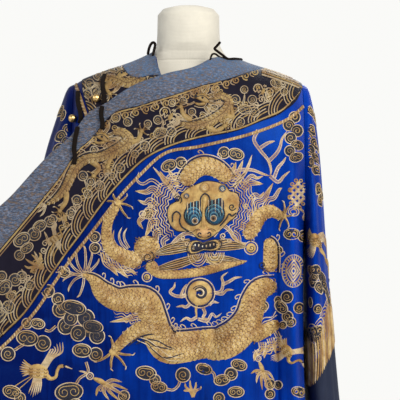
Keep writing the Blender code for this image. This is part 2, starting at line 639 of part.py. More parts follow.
def closures(home, trees):
    """Two ball-and-loop closures: a button strap on the under shoulder with a gilt ball, and
    a loop strap on the overlap that lies down from the ball over the trim."""
    under, overlap = trees
    clear = STRAP_RADIUS + STRAP_CLEARANCE
    for name, strap, ball, loop in CLOSURES:
        cord(f"strap_{name}_button", [seated(under, p, clear) for p in eased(strap)],
             STRAP_RADIUS, "black_cord", home)
        cord(f"strap_{name}_loop", [seated(overlap, p, clear) for p in eased(loop)],
             STRAP_RADIUS, "black_cord", home)
        centre = seated(under, ball, BALL_RADIUS + BALL_CLEARANCE)
        model = bmesh.new()
        bmesh.ops.create_uvsphere(model, u_segments=12, v_segments=8, radius=BALL_RADIUS)
        mesh = bpy.data.meshes.new(f"button_{name}")
        model.to_mesh(mesh)
        model.free()
        made = add_object(f"button_{name}", mesh, "gilt_ball", home)
        made.location = centre


def neck_loops(home, trees):
    """The two small cord loops that stand at the neck, where a collar closure was."""
    clear = LOOP_RADIUS + SEAM
    for tree, (name, foot, end, offsets) in zip(trees, NECK_LOOPS):
        start = seated(tree, foot, clear)
        line = [start, *(start + Vector(offset) for offset in offsets), seated(tree, end, clear)]
        cord(name, eased(line), LOOP_RADIUS, "black_cord", home)


def collection(name):
    """A fresh collection in the scene."""
    made = bpy.data.collections.new(name)
    bpy.context.scene.collection.children.link(made)
    return made


def main():
    for item in list(bpy.data.objects):
        bpy.data.objects.remove(item)
    home = collection("dragon_robe")
    cutters = collection("cutters")

    overlap = panel_grid(OVERLAP, overlap_top, OVERLAP_ROWS, closure_pull)
    under = panel_grid(UNDER, under_top, UNDER_ROWS)
    back = panel_grid(BACK, back_top, BACK_ROWS)
    front_panel = wall("robe_overlap_front", overlap, moved(overlap, -WALL), "blue_satin", home)
    under_panel = wall("robe_under_front", under, moved(under, -WALL), "blue_satin", home)
    wall("robe_back", back, moved(back, -WALL), "blue_satin", home)
    front_bands(overlap, home, cutters)
    under_bands(under, home, cutters)
    back_bands(back, home, cutters)
    sleeves(home)
    dress_form(home)

    bpy.context.view_layer.update()
    under_tree = surface_of([under_panel, home.objects["trim_under"], home.objects["border_under"],
                             home.objects["sleeve_right_upper"]])
    overlap_tree = surface_of([front_panel, home.objects["trim_front"], home.objects["border_front"]])
    closures(home, (under_tree, overlap_tree))
    neck_loops(home, (under_tree, overlap_tree))


main()
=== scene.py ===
"""Looks of a chinese dragon robe on a dress form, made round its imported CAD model.

Metres, +Z up. The robe's front faces -Y, so the wearer's left is +X. Every cloth piece is a
fine surface worked out from the robe's tables of sections, with its creases. The embroidery is
drawn as strokes in stitch units and laid on the cloth that carries it.
"""
import math

import bmesh
import bpy
import numpy as np
from bpy.props import FloatProperty, FloatVectorProperty, PointerProperty
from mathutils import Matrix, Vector


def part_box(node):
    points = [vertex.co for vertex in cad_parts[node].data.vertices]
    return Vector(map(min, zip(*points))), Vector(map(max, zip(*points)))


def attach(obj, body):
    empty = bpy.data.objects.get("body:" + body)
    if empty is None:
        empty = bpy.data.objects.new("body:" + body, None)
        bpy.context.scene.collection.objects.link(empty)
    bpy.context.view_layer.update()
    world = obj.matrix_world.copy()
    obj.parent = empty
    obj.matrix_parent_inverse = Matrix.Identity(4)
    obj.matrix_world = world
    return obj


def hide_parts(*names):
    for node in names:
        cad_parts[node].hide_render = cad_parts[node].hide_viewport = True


bl_info = {
    "name": "Dragon robe",
    "version": (1, 0, 0),
    "blender": (4, 5, 0),
    "location": "3D View > Sidebar > Dragon robe",
    "description": "Cloth, embroidery, closures and dress form of a chinese dragon robe",
    "category": "Add Mesh",
}

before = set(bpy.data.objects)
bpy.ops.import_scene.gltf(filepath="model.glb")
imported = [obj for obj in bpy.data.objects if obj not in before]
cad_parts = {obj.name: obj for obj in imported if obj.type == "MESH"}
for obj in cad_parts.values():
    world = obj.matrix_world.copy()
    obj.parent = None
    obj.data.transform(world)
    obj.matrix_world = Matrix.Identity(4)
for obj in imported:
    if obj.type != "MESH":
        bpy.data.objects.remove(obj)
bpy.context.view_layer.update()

# Picture: eye, focal length in pixels, frame width in pixels, and one stitch unit, which is
# what a pixel covers on the front of the robe
EYE = (0.0219, -1.9, 1.234)
FOCAL = 1000.0
FRAME_WIDTH = 400.0
UNIT = 0.00176

# Cloth, as in the solids
WALL = 0.0020
BAND_WALL = 0.0010
SEAM = 0.0003
SHOULDER_X = (0.000, 0.050, 0.065, 0.100, 0.160, 0.200, 0.214)
SHOULDER_Z = (1.5250, 1.5235, 1.5145, 1.4975, 1.4770, 1.4615, 1.4545)
SHOULDER_FALL = 0.160
ARMHOLE_X = 0.214
ARMPIT_Z = 1.170
ARMHOLE_DEPTH = 0.080
ARMHOLE_LEAN = 1.7
NECK_LEFT_X = 0.098
NECK_RIGHT_X = -0.064
NECK_ROUNDNESS = 2.6
UNDER_NECK_DEPTH = 0.78
BACK_NECK_DEPTH = 0.46
HEIGHTS = (0.115, 0.500, 0.880, 1.170, 1.300)
HEM_Z, CHEST_Z = HEIGHTS[0], HEIGHTS[-1]

# Sections of the overlap, the under front and the back: x and y of each station at HEIGHTS
OVERLAP = {
    "edge": ((-0.500, -0.445, -0.400, -0.384, -0.384), (-0.185, -0.172, -0.150, -0.132, -0.130)),
    "flap": ((-0.385, -0.335, -0.300, -0.290, -0.290), (-0.232, -0.192, -0.160, -0.139, -0.135)),
    "side_right": ((-0.262, -0.222, -0.200, -0.195, -0.195), (-0.205, -0.188, -0.163, -0.146, -0.140)),
    "breast_right": ((-0.125, -0.107, -0.095, -0.095, -0.095), (-0.240, -0.197, -0.167, -0.150, -0.144)),
    "centre": ((0.020, 0.022, 0.022, 0.020, 0.020), (-0.212, -0.188, -0.165, -0.151, -0.144)),
    "breast_left": ((0.150, 0.125, 0.110, 0.105, 0.105), (-0.240, -0.189, -0.156, -0.143, -0.139)),
    "valley": ((0.232, 0.186, 0.163, 0.160, 0.160), (-0.198, -0.152, -0.122, -0.115, -0.123)),
    "ridge": ((0.300, 0.226, 0.193, 0.189, 0.188), (-0.205, -0.166, -0.139, -0.129, -0.120)),
    "flank": ((0.352, 0.248, 0.212, 0.2105, 0.208), (-0.120, -0.095, -0.083, -0.073, -0.098)),
    "side": ((0.372, 0.258, 0.2165, 0.2140, 0.2140), (0.0, 0.0, 0.0, 0.0, 0.0)),
}
UNDER = {
    "edge": ((0.090, 0.060, 0.045, 0.040, 0.040), (-0.175, -0.150, -0.135, -0.120, -0.119)),
    "centre": ((-0.020, -0.020, -0.020, -0.020, -0.020), (-0.188, -0.158, -0.138, -0.126, -0.124)),
    "breast": ((-0.140, -0.110, -0.095, -0.092, -0.092), (-0.195, -0.162, -0.137, -0.125, -0.125)),
    "outer": ((-0.255, -0.190, -0.165, -0.160, -0.160), (-0.165, -0.138, -0.120, -0.111, -0.117)),
    "flank": ((-0.335, -0.240, -0.206, -0.2030, -0.2000), (-0.100, -0.080, -0.072, -0.066, -0.098)),
    "side": ((-0.365, -0.256, -0.2165, -0.2140, -0.2140), (0.0, 0.0, 0.0, 0.0, 0.0)),
}
BACK = {
    "side_left": ((0.372, 0.258, 0.2165, 0.2140, 0.2140), (0.0, 0.0, 0.0, 0.0, 0.0)),
    "flank_left": ((0.348, 0.243, 0.207, 0.2040, 0.2050), (0.120, 0.090, 0.076, 0.068, 0.085)),
    "blade_left": ((0.262, 0.197, 0.166, 0.160, 0.160), (0.205, 0.160, 0.128, 0.114, 0.112)),
    "mid_left": ((0.130, 0.095, 0.075, 0.070, 0.070), (0.215, 0.172, 0.139, 0.125, 0.119)),
    "centre": ((0.000, 0.000, 0.000, 0.000, 0.000), (0.238, 0.180, 0.142, 0.127, 0.120)),
    "mid_right": ((-0.120, -0.092, -0.075, -0.070, -0.070), (0.212, 0.171, 0.139, 0.125, 0.119)),
    "blade_right": ((-0.258, -0.196, -0.166, -0.160, -0.160), (0.212, 0.160, 0.128, 0.114, 0.112)),
    "flank_right": ((-0.340, -0.241, -0.207, -0.2040, -0.2050), (0.115, 0.090, 0.076, 0.068, 0.085)),
    "side_right": ((-0.365, -0.256, -0.2165, -0.2140, -0.2140), (0.0, 0.0, 0.0, 0.0, 0.0)),
}

# Edges on the fronts, as x and z: the overlap's upper edge, and the lower edges of its trim and
# of its dark border
OVERLAP_EDGE_X = (-0.384, -0.331, -0.317, -0.267, -0.242, -0.201, -0.185, -0.144,
                  -0.109, -0.038, 0.022, 0.040, 0.085, 0.098)
OVERLAP_EDGE_Z = (1.170, 1.2234, 1.2358, 1.2906, 1.3172, 1.3568, 1.3817, 1.4090,
                  1.4327, 1.4590, 1.4772, 1.4885, 1.4960, 1.4983)
CLOSURE_PULLS = ((-0.200, 1.357, 0.012, 0.070), (-0.144, 1.409, 0.010, 0.060))
TRIM_X = (-0.420, -0.384, -0.332, -0.258, -0.219, -0.198, -0.170, -0.138, -0.085,
          -0.007, 0.022, 0.057, 0.127, 0.150)
TRIM_Z = (1.041, 1.083, 1.1455, 1.234, 1.284, 1.318, 1.344, 1.3835, 1.401,
          1.425, 1.4356, 1.445, 1.474, 1.484)
BORDER_X = (-0.440, -0.384, -0.323, -0.285, -0.252, -0.211, -0.184, -0.142, -0.106,
            -0.072, -0.029, 0.022, 0.089, 0.131, 0.170, 0.206, 0.2139)
BORDER_Z = (0.857, 0.925, 0.996, 1.034, 1.081, 1.140, 1.176, 1.234, 1.275,
            1.306, 1.3275, 1.3425, 1.3565, 1.3736, 1.3914, 1.430, 1.448)
BORDER_SHOULDER_X = 0.156
UNDER_TRIM = ((-0.128, 1.500), (-0.114, 1.470), (-0.0925, 1.456), (-0.066, 1.459), (-0.040, 1.457), (0.060, 1.430))
UNDER_BORDER = ((-0.2025, 1.470), (-0.192, 1.430), (-0.178, 1.390), (-0.150, 1.350),
                (-0.100, 1.320), (0.060, 1.300))
BACK_TRIM_HALF_WIDTH = 0.125
BACK_TRIM_BOTTOM_Z = 1.463
BACK_BORDER_HALF_WIDTH = 0.203
BACK_BORDER_BOTTOM_Z = 1.355
BACK_OVAL_Z = 1.500

# Sleeve rings: outer x and z, inner x and z, and half depth, from armhole to cuff
SLEEVE_RINGS = np.array((
    (0.2143, 1.4545, 0.2143, 1.1700, 0.080),
    (0.2265, 1.4450, 0.2146, 1.1670, 0.084),
    (0.2350, 1.4130, 0.2150, 1.1620, 0.089),
    (0.2420, 1.3700, 0.2154, 1.1530, 0.094),
    (0.2480, 1.3150, 0.2158, 1.1400, 0.098),
    (0.2530, 1.2500, 0.2163, 1.1180, 0.100),
    (0.2580, 1.1750, 0.2170, 1.0830, 0.100),
    (0.2640, 1.0950, 0.2180, 1.0300, 0.097),
    (0.2720, 1.0100, 0.2200, 0.9250, 0.092),
    (0.2790, 0.9300, 0.2240, 0.8600, 0.085),
    (0.2880, 0.8400, 0.2320, 0.7800, 0.077),
    (0.3010, 0.7400, 0.2450, 0.6900, 0.069),
    (0.3140, 0.6400, 0.2600, 0.6000, 0.063),
))
SLEEVE_SEAM_RING = 8
RIB_END_RING = 8.62
SLEEVE_SEAM_SHIFT = 0.012
RIGHT_SLEEVE_SPREAD = (0.0, 0.002, 0.006, 0.014, 0.024, 0.032, 0.037, 0.037, 0.034,
                       0.031, 0.027, 0.022, 0.016)

# Thread shades
GOLD = (0.530, 0.355, 0.120)
PALE = (0.640, 0.505, 0.310)
ROSE = (0.500, 0.310, 0.210)
BROWN = (0.170, 0.085, 0.030)
TAN = (0.330, 0.200, 0.085)
INK = (0.002, 0.004, 0.022)
TEAL = (0.004, 0.085, 0.190)
IVORY = (0.800, 0.780, 0.680)


def smooth(at, stops, values):
    """Cubic curve through values at rising stops, level with the end value beyond them."""
    at = np.asarray(at, float)
    stops = np.asarray(stops, float)
    values = np.asarray(values, float)
    slopes = np.gradient(values, stops)
    inside = np.clip(at, stops[0], stops[-1])
    i = np.clip(np.searchsorted(stops, inside, side="right") - 1, 0, len(stops) - 2)
    width = stops[i + 1] - stops[i]
    t = (inside - stops[i]) / width
    start = (1 + 2 * t) * (1 - t) ** 2 * values[i] + t * (1 - t) ** 2 * width * slopes[i]
    end = t * t * (3 - 2 * t) * values[i + 1] + t * t * (t - 1) * width * slopes[i + 1]
    return start + end


def across(k, rows):
    """Uniform Catmull-Rom spline: rows is (stations, ...) and k the station, as a real number."""
    last = rows.shape[0] - 1
    i = np.clip(np.floor(k).astype(int), 0, last - 1)
    t = k - i
    ends = np.concatenate([2 * rows[:1] - rows[1:2], rows, 2 * rows[-1:] - rows[-2:-1]])
    p0, p1, p2, p3 = (np.take_along_axis(ends, (i + n)[None], 0)[0] for n in range(4))
    return 0.5 * (2 * p1 + (p2 - p0) * t + (2 * p0 - 5 * p1 + 4 * p2 - p3) * t ** 2
                  + (3 * p1 - p0 - 3 * p2 + p3) * t ** 3)


def eased(points, per_step=5):
    """Points of a smooth line through the given ones: a Catmull-Rom spline, row by row."""
    points = np.asarray(points, float)
    k = np.linspace(0, len(points) - 1, per_step * (len(points) - 1) + 1)
    columns = [np.repeat(points[:, n:n + 1], len(k), 1) for n in range(points.shape[1])]
    return np.stack([across(k, column) for column in columns], -1)


def shoulder_z(x):
    """Height of the shoulder line at a distance from the middle."""
    return smooth(np.abs(x), SHOULDER_X, SHOULDER_Z)


def arc(drop):
    """Share of the full depth that the cloth has reached at a drop below the shoulder line."""
    fall = np.clip(drop / SHOULDER_FALL, 0.0, 1.0)
    return np.sqrt(fall * (2 - fall))


def armhole_depth(z):
    """Half depth of the armhole opening at a height: zero at the shoulder tip and the armpit."""
    share = np.clip((z - ARMPIT_Z) / (SHOULDER_Z[-1] - ARMPIT_Z), 0.0, 1.0)
    cosine = 2 * share ** (1 / ARMHOLE_LEAN) - 1
    return ARMHOLE_DEPTH * np.sqrt(np.clip(1 - cosine ** 2, 0.0, 1.0))


def body_point(stations, k, z):
    """x and y of a body panel at station k and height z. The depth shrinks along the shoulder
    arc, and an armhole side keeps to the armhole's own curve."""
    sign = -1.0 if stations["centre"][1][0] < 0 else 1.0
    tip_arc = np.maximum(arc(SHOULDER_Z[-1] - z), 1e-4)
    xs, ys = [], []
    for x, y in stations.values():
        at_armhole = abs(x[-1]) == ARMHOLE_X
        xs.append(smooth(z, HEIGHTS, x))
        ys.append(armhole_depth(z) / tip_arc if at_armhole else np.abs(smooth(z, HEIGHTS, y)))
    point_x = across(k, np.array(xs))
    depth = across(k, np.array(ys)) * arc(shoulder_z(point_x) - z)
    return point_x, sign * (depth + SEAM / 2)


def overlap_top(x):
    """Height of the overlap's upper boundary at x: its edge and neckline, then the shoulder."""
    return np.where(x < NECK_LEFT_X, smooth(x, OVERLAP_EDGE_X, OVERLAP_EDGE_Z), shoulder_z(x))


def neck_top(x, depth):
    """Height of the neckline on the arc of the shoulders: a full oval seen from above."""
    middle = (NECK_LEFT_X + NECK_RIGHT_X) / 2
    half = (NECK_LEFT_X - NECK_RIGHT_X) / 2
    inside = np.clip(1 - np.abs((x - middle) / half) ** NECK_ROUNDNESS, 0.0, 1.0)
    share = np.clip(depth * inside ** (1 / NECK_ROUNDNESS), 0.0, 0.98)
    return shoulder_z(x) - SHOULDER_FALL * (1 - np.sqrt(1 - share ** 2))


def under_top(x):
    """Top of the under front: the right shoulder, cut steeply to the neck, then a low edge."""
    cut = smooth(x, UNDER_CUT_X, UNDER_CUT_Z)
    return np.minimum(neck_top(x, UNDER_NECK_DEPTH), cut)


def back_top(x):
    """Height of the back's upper boundary at x: the neckline between the two shoulders."""
    at_neck = (x > NECK_RIGHT_X) & (x < NECK_LEFT_X)
    return np.where(at_neck, neck_top(x, BACK_NECK_DEPTH), shoulder_z(x))


def off_line(x, z, line):
    """Distance of points from a line of (x, z) stops, and how far along it the nearest is."""
    line = np.asarray(line, float)
    lengths = np.hypot(*np.diff(line, axis=0).T)
    starts = np.concatenate([[0.0], np.cumsum(lengths)])
    nearest = np.full(np.shape(x), 1e9)
    along = np.zeros(np.shape(x))
    for (x0, z0), (x1, z1), start, length in zip(line, line[1:], starts, lengths):
        t = np.clip(((x - x0) * (x1 - x0) + (z - z0) * (z1 - z0)) / length ** 2, 0, 1)
        away = np.hypot(x - x0 - t * (x1 - x0), z - z0 - t * (z1 - z0))
        along = np.where(away < nearest, start + t * length, along)
        nearest = np.minimum(nearest, away)
    return nearest, along / starts[-1]


def creased(x, z, creases):
    """Push of the cloth at x and z: each crease is a soft trough, or a ridge if its depth is
    negative, that fades in and out along its line."""
    push = np.zeros(np.shape(x))
    for line, depth, width, fade_in, fade_out in creases:
        away, along = off_line(x, z, line)
        fade = np.minimum(1, (along + 0.02) / fade_in) * np.minimum(1, (1.02 - along) / fade_out)
        push += depth * np.exp(-(away / width) ** 2) * np.sin(fade * math.pi / 2) ** 2
    return push


# Creases of each panel: line of x and z, depth, half width, and the shares of its length over
# which it fades in and out
OVERLAP_CREASES = (
    (((0.166, 1.330), (0.163, 1.240), (0.159, 1.130), (0.160, 0.880), (0.178, 0.500), (0.222, 0.115)),
     0.0095, 0.0050, 0.30, 0.05),
    (((0.157, 1.180), (0.150, 1.130), (0.151, 0.880), (0.169, 0.500), (0.213, 0.115)), -0.0030, 0.0055, 0.25, 0.05),
    (((0.053, 1.080), (0.047, 1.033), (0.040, 0.975), (0.022, 0.905), (0.018, 0.840), (0.024, 0.500), (0.032, 0.115)),
     0.0150, 0.0145, 0.12, 0.30),
    (((0.040, 1.120), (0.052, 1.070), (0.056, 1.020), (0.050, 0.970)), 0.0110, 0.0240, 0.30, 0.40),
    (((-0.060, 0.960), (-0.066, 0.700), (-0.080, 0.115)), 0.0110, 0.0240, 0.40, 0.10),
    (((0.110, 0.900), (0.122, 0.600), (0.150, 0.115)), 0.0100, 0.0200, 0.40, 0.10),
    (((-0.190, 0.900), (-0.205, 0.600), (-0.235, 0.115)), 0.0110, 0.0220, 0.40, 0.10),
    (((-0.300, 0.860), (-0.330, 0.500), (-0.378, 0.115)), 0.0090, 0.0180, 0.40, 0.10),
    (((-0.380, 1.010), (-0.300, 1.010), (-0.200, 1.045), (-0.120, 1.090)), 0.0030, 0.0080, 0.30, 0.60),
    (((-0.370, 0.955), (-0.260, 0.940), (-0.150, 0.960)), 0.0028, 0.0090, 0.30, 0.60),
    (((-0.200, 1.330), (-0.230, 1.280), (-0.290, 1.210)), 0.0028, 0.0060, 0.15, 0.60),
    (((-0.196, 1.330), (-0.180, 1.270), (-0.175, 1.190)), 0.0022, 0.0070, 0.15, 0.60),
    (((-0.146, 1.380), (-0.110, 1.350), (-0.060, 1.330)), 0.0020, 0.0070, 0.15, 0.60),
    (((0.050, 1.4880), (0.046, 1.462), (0.044, 1.440)), 0.0022, 0.0035, 0.30, 0.30),
    (((0.204, 1.420), (0.196, 1.340), (0.190, 1.250)), -0.0040, 0.0090, 0.30, 0.60),
    (((0.140, 1.320), (0.132, 1.200), (0.128, 1.060)), 0.0025, 0.0140, 0.40, 0.50),
)
UNDER_CREASES = (
    (((-0.150, 1.250), (-0.130, 0.900), (-0.150, 0.500), (-0.190, 0.115)), 0.0080, 0.0200, 0.40, 0.10),
    (((-0.060, 1.000), (-0.060, 0.600), (-0.080, 0.115)), 0.0080, 0.0180, 0.40, 0.10),
    (((-0.200, 1.100), (-0.205, 0.700), (-0.290, 0.115)), 0.0060, 0.0160, 0.40, 0.10),
)
BACK_CREASES = (
    (((0.120, 1.330), (0.112, 1.000), (0.140, 0.500), (0.190, 0.115)), 0.0090, 0.0200, 0.40, 0.10),
    (((-0.118, 1.300), (-0.115, 0.950), (-0.140, 0.500), (-0.185, 0.115)), 0.0090, 0.0220, 0.40, 0.10),
    (((0.035, 1.200), (0.036, 0.800), (0.050, 0.115)), 0.0080, 0.0240, 0.50, 0.10),
    (((-0.045, 1.000), (-0.052, 0.600), (-0.070, 0.115)), 0.0080, 0.0200, 0.50, 0.10),
    (((0.180, 1.360), (0.186, 1.150), (0.190, 0.800), (0.280, 0.115)), 0.0060, 0.0130, 0.30, 0.10),
    (((-0.184, 1.350), (-0.186, 1.150), (-0.190, 0.800), (-0.280, 0.115)), 0.0060, 0.0130, 0.30, 0.10),
    (((-0.080, 1.330), (0.000, 1.312), (0.085, 1.332)), 0.0030, 0.0080, 0.30, 0.30),
)


def grid_normals(points):
    """Unit normals of a grid of points, leading away from the upright axis on the whole."""
    normals = np.cross(np.gradient(points, axis=1), np.gradient(points, axis=0))
    normals /= np.maximum(np.linalg.norm(normals, axis=-1, keepdims=True), 1e-12)
    return normals * np.sign((normals * points * (1.0, 1.0, 0.0)).sum())


class Cloth:
    """A cloth surface as a table of points and normals over even cloth coordinates a, across,
    and b, up or down, both in metres."""

    def __init__(self, points, a_range, b_range):
        self.points = points
        self.normals = grid_normals(points)
        self.a_range = a_range
        self.b_range = b_range

    def read(self, table, a, b):
        """Value of a table at cloth coordinates, evenly mixed between its four neighbours."""
        rows, columns = table.shape[:2]
        c = (a - self.a_range[0]) / (self.a_range[1] - self.a_range[0]) * (columns - 1)
        r = (b - self.b_range[0]) / (self.b_range[1] - self.b_range[0]) * (rows - 1)
        c = np.clip(c, 0, columns - 1.001)
        r = np.clip(r, 0, rows - 1.001)
        i, j = r.astype(int), c.astype(int)
        s, t = r - i, c - j
        if table.ndim == 3:
            s, t = s[..., None], t[..., None]
        low = table[i, j] * (1 - t) + table[i, j + 1] * t
        high = table[i + 1, j] * (1 - t) + table[i + 1, j + 1] * t
        return low * (1 - s) + high * s

    def at(self, a, b, height):
        """Points at a height above the cloth."""
        normals = self.read(self.normals, a, b)
        normals /= np.linalg.norm(normals, axis=-1, keepdims=True)
        return self.read(self.points, a, b) + normals * np.asarray(height)[..., None]

    def upright(self, a, b):
        """Matrix from a drawing's right and down, in metres, to cloth coordinates at a point,
        so that the drawing stands upright there."""
        step = 0.002
        a, b = np.array([a, a + step, a]), np.array([b, b, b + step])
        centre, beside, along = self.read(self.points, a, b)
        normal = self.read(self.normals, a, b)[0]
        sides = np.stack([(beside - centre) / step, (along - centre) / step], 1)
        down = np.array((0.0, 0.0, -1.0)) - normal * -normal[2]
        down /= np.linalg.norm(down)
        right = np.cross(normal, down)
        return np.linalg.lstsq(sides, np.stack([right, down], 1), rcond=None)[0]


class Panel(Cloth):
    """A body panel: a is the length across from its centre station and b is the height."""

    ROWS, COLUMNS, FINE = 520, 340, 420

    def __init__(self, stations, top_of, creases):
        self.stations = stations
        self.top_of = top_of
        self.creases = creases
        last = len(stations) - 1
        centre = list(stations).index("centre")
        b_range = (HEM_Z - 0.005, SHOULDER_Z[0])
        z = np.linspace(*b_range, self.ROWS)
        k = np.linspace(0, last, self.FINE)
        points = self.point(*np.meshgrid(k, z))
        steps = np.linalg.norm(np.diff(points[..., :2], axis=1), axis=-1)
        run = np.concatenate([np.zeros((self.ROWS, 1)), np.cumsum(steps, 1)], 1)
        middle = np.array([np.interp(centre, k, row) for row in run])
        run -= middle[:, None]
        if points[0, 0, 0] > points[0, -1, 0]:
            run = -run[:, ::-1]
            k = k[::-1]
        a_range = (run.min(), run.max())
        a = np.linspace(*a_range, self.COLUMNS)
        self.k_table = np.array([np.interp(a, row, k) for row in run])
        self.edges = (z, run[:, 0], run[:, -1])
        super().__init__(self.point(self.k_table, np.repeat(z[:, None], self.COLUMNS, 1)),
                         a_range, b_range)
        self.x_stops = np.linspace(self.points[..., 0].min(), self.points[..., 0].max(), self.COLUMNS)
        self.a_by_x = np.array([np.interp(self.x_stops, row, a) for row in self.points[..., 0]])

    def point(self, k, z):
        """Point at station k and height z, with the closures' pull and the creases."""
        x, y = body_point(self.stations, k, z)
        sign = np.sign(self.stations["centre"][1][0])
        push = creased(x, z, self.creases)
        if self.top_of is overlap_top:
            for pull_x, pull_z, depth, reach in CLOSURE_PULLS:
                push += depth * np.exp(-((x - pull_x) ** 2 + (z - pull_z) ** 2) / reach ** 2)
        near_seam = np.clip(np.abs(y) / 0.030, 0, 1)
        return np.stack([x, y - sign * push * near_seam, z], -1)

    def a_of(self, x, z):
        """Cloth coordinate a of the points with these x and z."""
        c = (x - self.x_stops[0]) / (self.x_stops[-1] - self.x_stops[0]) * (self.COLUMNS - 1)
        c = np.clip(c, 0, self.COLUMNS - 1.001)
        r = np.clip((z - self.b_range[0]) / (self.b_range[1] - self.b_range[0]) * (self.ROWS - 1),
                    0, self.ROWS - 1.001)
        i, j = r.astype(int), c.astype(int)
        s, t = r - i, c - j
        table = self.a_by_x
        return ((table[i, j] * (1 - t) + table[i, j + 1] * t) * (1 - s)
                + (table[i + 1, j] * (1 - t) + table[i + 1, j + 1] * t) * s)

    def seen(self, pixels):
        """Cloth coordinates of the points that the picture shows at these pixels."""
        y = np.full(len(pixels), -0.14)
        for _ in range(4):
            scale = (y - EYE[1]) / FOCAL
            x = EYE[0] + (pixels[:, 0] - FRAME_WIDTH / 2) * scale
            z = EYE[2] - (pixels[:, 1] - FRAME_WIDTH / 2) * scale
            a = self.a_of(x, z)
            y = self.read(self.points, a, z)[:, 1]
        return np.stack([a, z], -1)

    def grid(self, columns, rows, crowding=1.3):
        """Grid over the whole panel. Each column runs from its top boundary to the hem."""
        last = len(self.stations) - 1
        k = np.linspace(0, last, columns + 1)
        chest = self.point(k, np.full(len(k), CHEST_Z))
        top = self.top_of(chest[:, 0])
        share = np.linspace(0, 1, 500)[:, None]
        z = top - (top - HEM_Z) * share ** 2
        fine = self.point(np.broadcast_to(k, z.shape), z)
        steps = np.linalg.norm(np.diff(fine, axis=0), axis=-1)
        run = np.concatenate([np.zeros((1, columns + 1)), np.cumsum(steps, 0)])
        wanted = np.linspace(0, 1, rows + 1) ** crowding
        heights = np.stack([np.interp(wanted * run[-1, c], run[:, c], z[:, c])
                            for c in range(columns + 1)], 1)
        return self.point(np.broadcast_to(k, heights.shape), heights)

    def strip(self, first, last, upper, lower, columns, rows):
        """Grid of a band between two lines z(x), over the stations from first to last."""
        k = np.linspace(first, last, columns + 1)
        ends = []
        for line in (upper, lower):
            z = np.full(len(k), CHEST_Z)
            for _ in range(12):
                z = line(self.point(k, z)[:, 0])
            ends.append(z)
        share = np.linspace(0, 1, rows + 1)[:, None]
        z = ends[0] + (ends[1] - ends[0]) * share
        return self.point(np.broadcast_to(k, z.shape), z)


class Sleeve(Cloth):
    """A sleeve: a is the length round each ring from the outer fold, towards the front, and b
    is the length down the outer fold."""

    ROWS, COLUMNS, FINE = 320, 260, 300

    def __init__(self, side):
        self.side = side
        w = np.linspace(0, len(SLEEVE_RINGS) - 1, 400)
        fold = self.point(w, np.zeros(400))
        lengths = np.linalg.norm(np.diff(fold, axis=0), axis=-1)
        self.w_stops = w
        self.down = np.concatenate([[0.0], np.cumsum(lengths)])
        b = np.linspace(0, self.down[-1], self.ROWS)
        rings = np.interp(b, self.down, w)
        theta = np.linspace(-math.pi, math.pi, self.FINE)
        points = self.point(*np.meshgrid(rings, theta, indexing="ij"))
        steps = np.linalg.norm(np.diff(points, axis=1), axis=-1)
        run = np.concatenate([np.zeros((self.ROWS, 1)), np.cumsum(steps, 1)], 1)
        run -= run[:, self.FINE // 2:self.FINE // 2 + 1]
        reach = run.max()
        a = np.linspace(-reach, reach, self.COLUMNS)
        turned = np.array([np.interp(a, row, theta) for row in run])
        self.edges = (b, run[:, 0], run[:, -1])
        super().__init__(self.point(np.repeat(rings[:, None], self.COLUMNS, 1), turned),
                         (-reach, reach), (0.0, self.down[-1]))
        outward = self.points - self.points.mean(1, keepdims=True)
        self.normals *= np.sign((self.normals * outward).sum(-1, keepdims=True).mean())

    def point(self, w, theta, inset=0.0):
        """Point of the sleeve at ring w and angle theta from the outer fold: an oval, deepest
        nearer the body, with long soft troughs."""
        table = SLEEVE_RINGS.copy()
        if self.side < 0:
            table[:, 0] += RIGHT_SLEEVE_SPREAD
        outer_x, outer_z, inner_x, inner_z, depth = (
            smooth(w, np.arange(len(table)), table[:, c]) for c in range(5))
        width = np.hypot(outer_x - inner_x, outer_z - inner_z)
        share = ((1 + np.cos(theta)) / 2) ** ARMHOLE_LEAN
        share = (share * (width - 2 * inset) + inset) / width
        fade = np.clip((w - 0.6) / 2.0, 0, 1) * np.clip(1.15 - w / 14, 0, 1)
        trough = (0.0060 * np.exp(-((theta - 0.95 - 0.02 * w) / 0.16) ** 2)
                  + 0.0045 * np.exp(-((theta - 0.42 - 0.03 * w) / 0.12) ** 2)
                  + 0.0060 * np.exp(-((theta + 1.05 + 0.03 * w) / 0.18) ** 2)
                  + 0.0050 * np.exp(-((theta + 0.50) / 0.15) ** 2)
                  + 0.0050 * np.exp(-((np.abs(theta) - 2.2) / 0.25) ** 2)) * fade
        x = inner_x + (outer_x - inner_x) * share
        y = -(depth - inset - trough) * np.sin(theta)
        x -= trough * 0.6 * np.cos(theta) * (np.abs(theta) < 1.5)
        z = inner_z + (outer_z - inner_z) * share
        return np.stack([self.side * x, y, z], -1)

    def seen(self, pixel):
        """Cloth coordinates of the front point that the picture shows nearest to a pixel."""
        depth = self.points[..., 1] - EYE[1]
        across_px = FRAME_WIDTH / 2 + (self.points[..., 0] - EYE[0]) / depth * FOCAL
        down_px = FRAME_WIDTH / 2 - (self.points[..., 2] - EYE[2]) / depth * FOCAL
        away = np.hypot(across_px - pixel[0], down_px - pixel[1])
        away += np.where(self.normals[..., 1] < 0, 0, 1e3)
        row, column = np.unravel_index(np.argmin(away), away.shape)
        return (np.interp(column, (0, self.COLUMNS - 1), self.a_range),
                np.interp(row, (0, self.ROWS - 1), self.b_range))


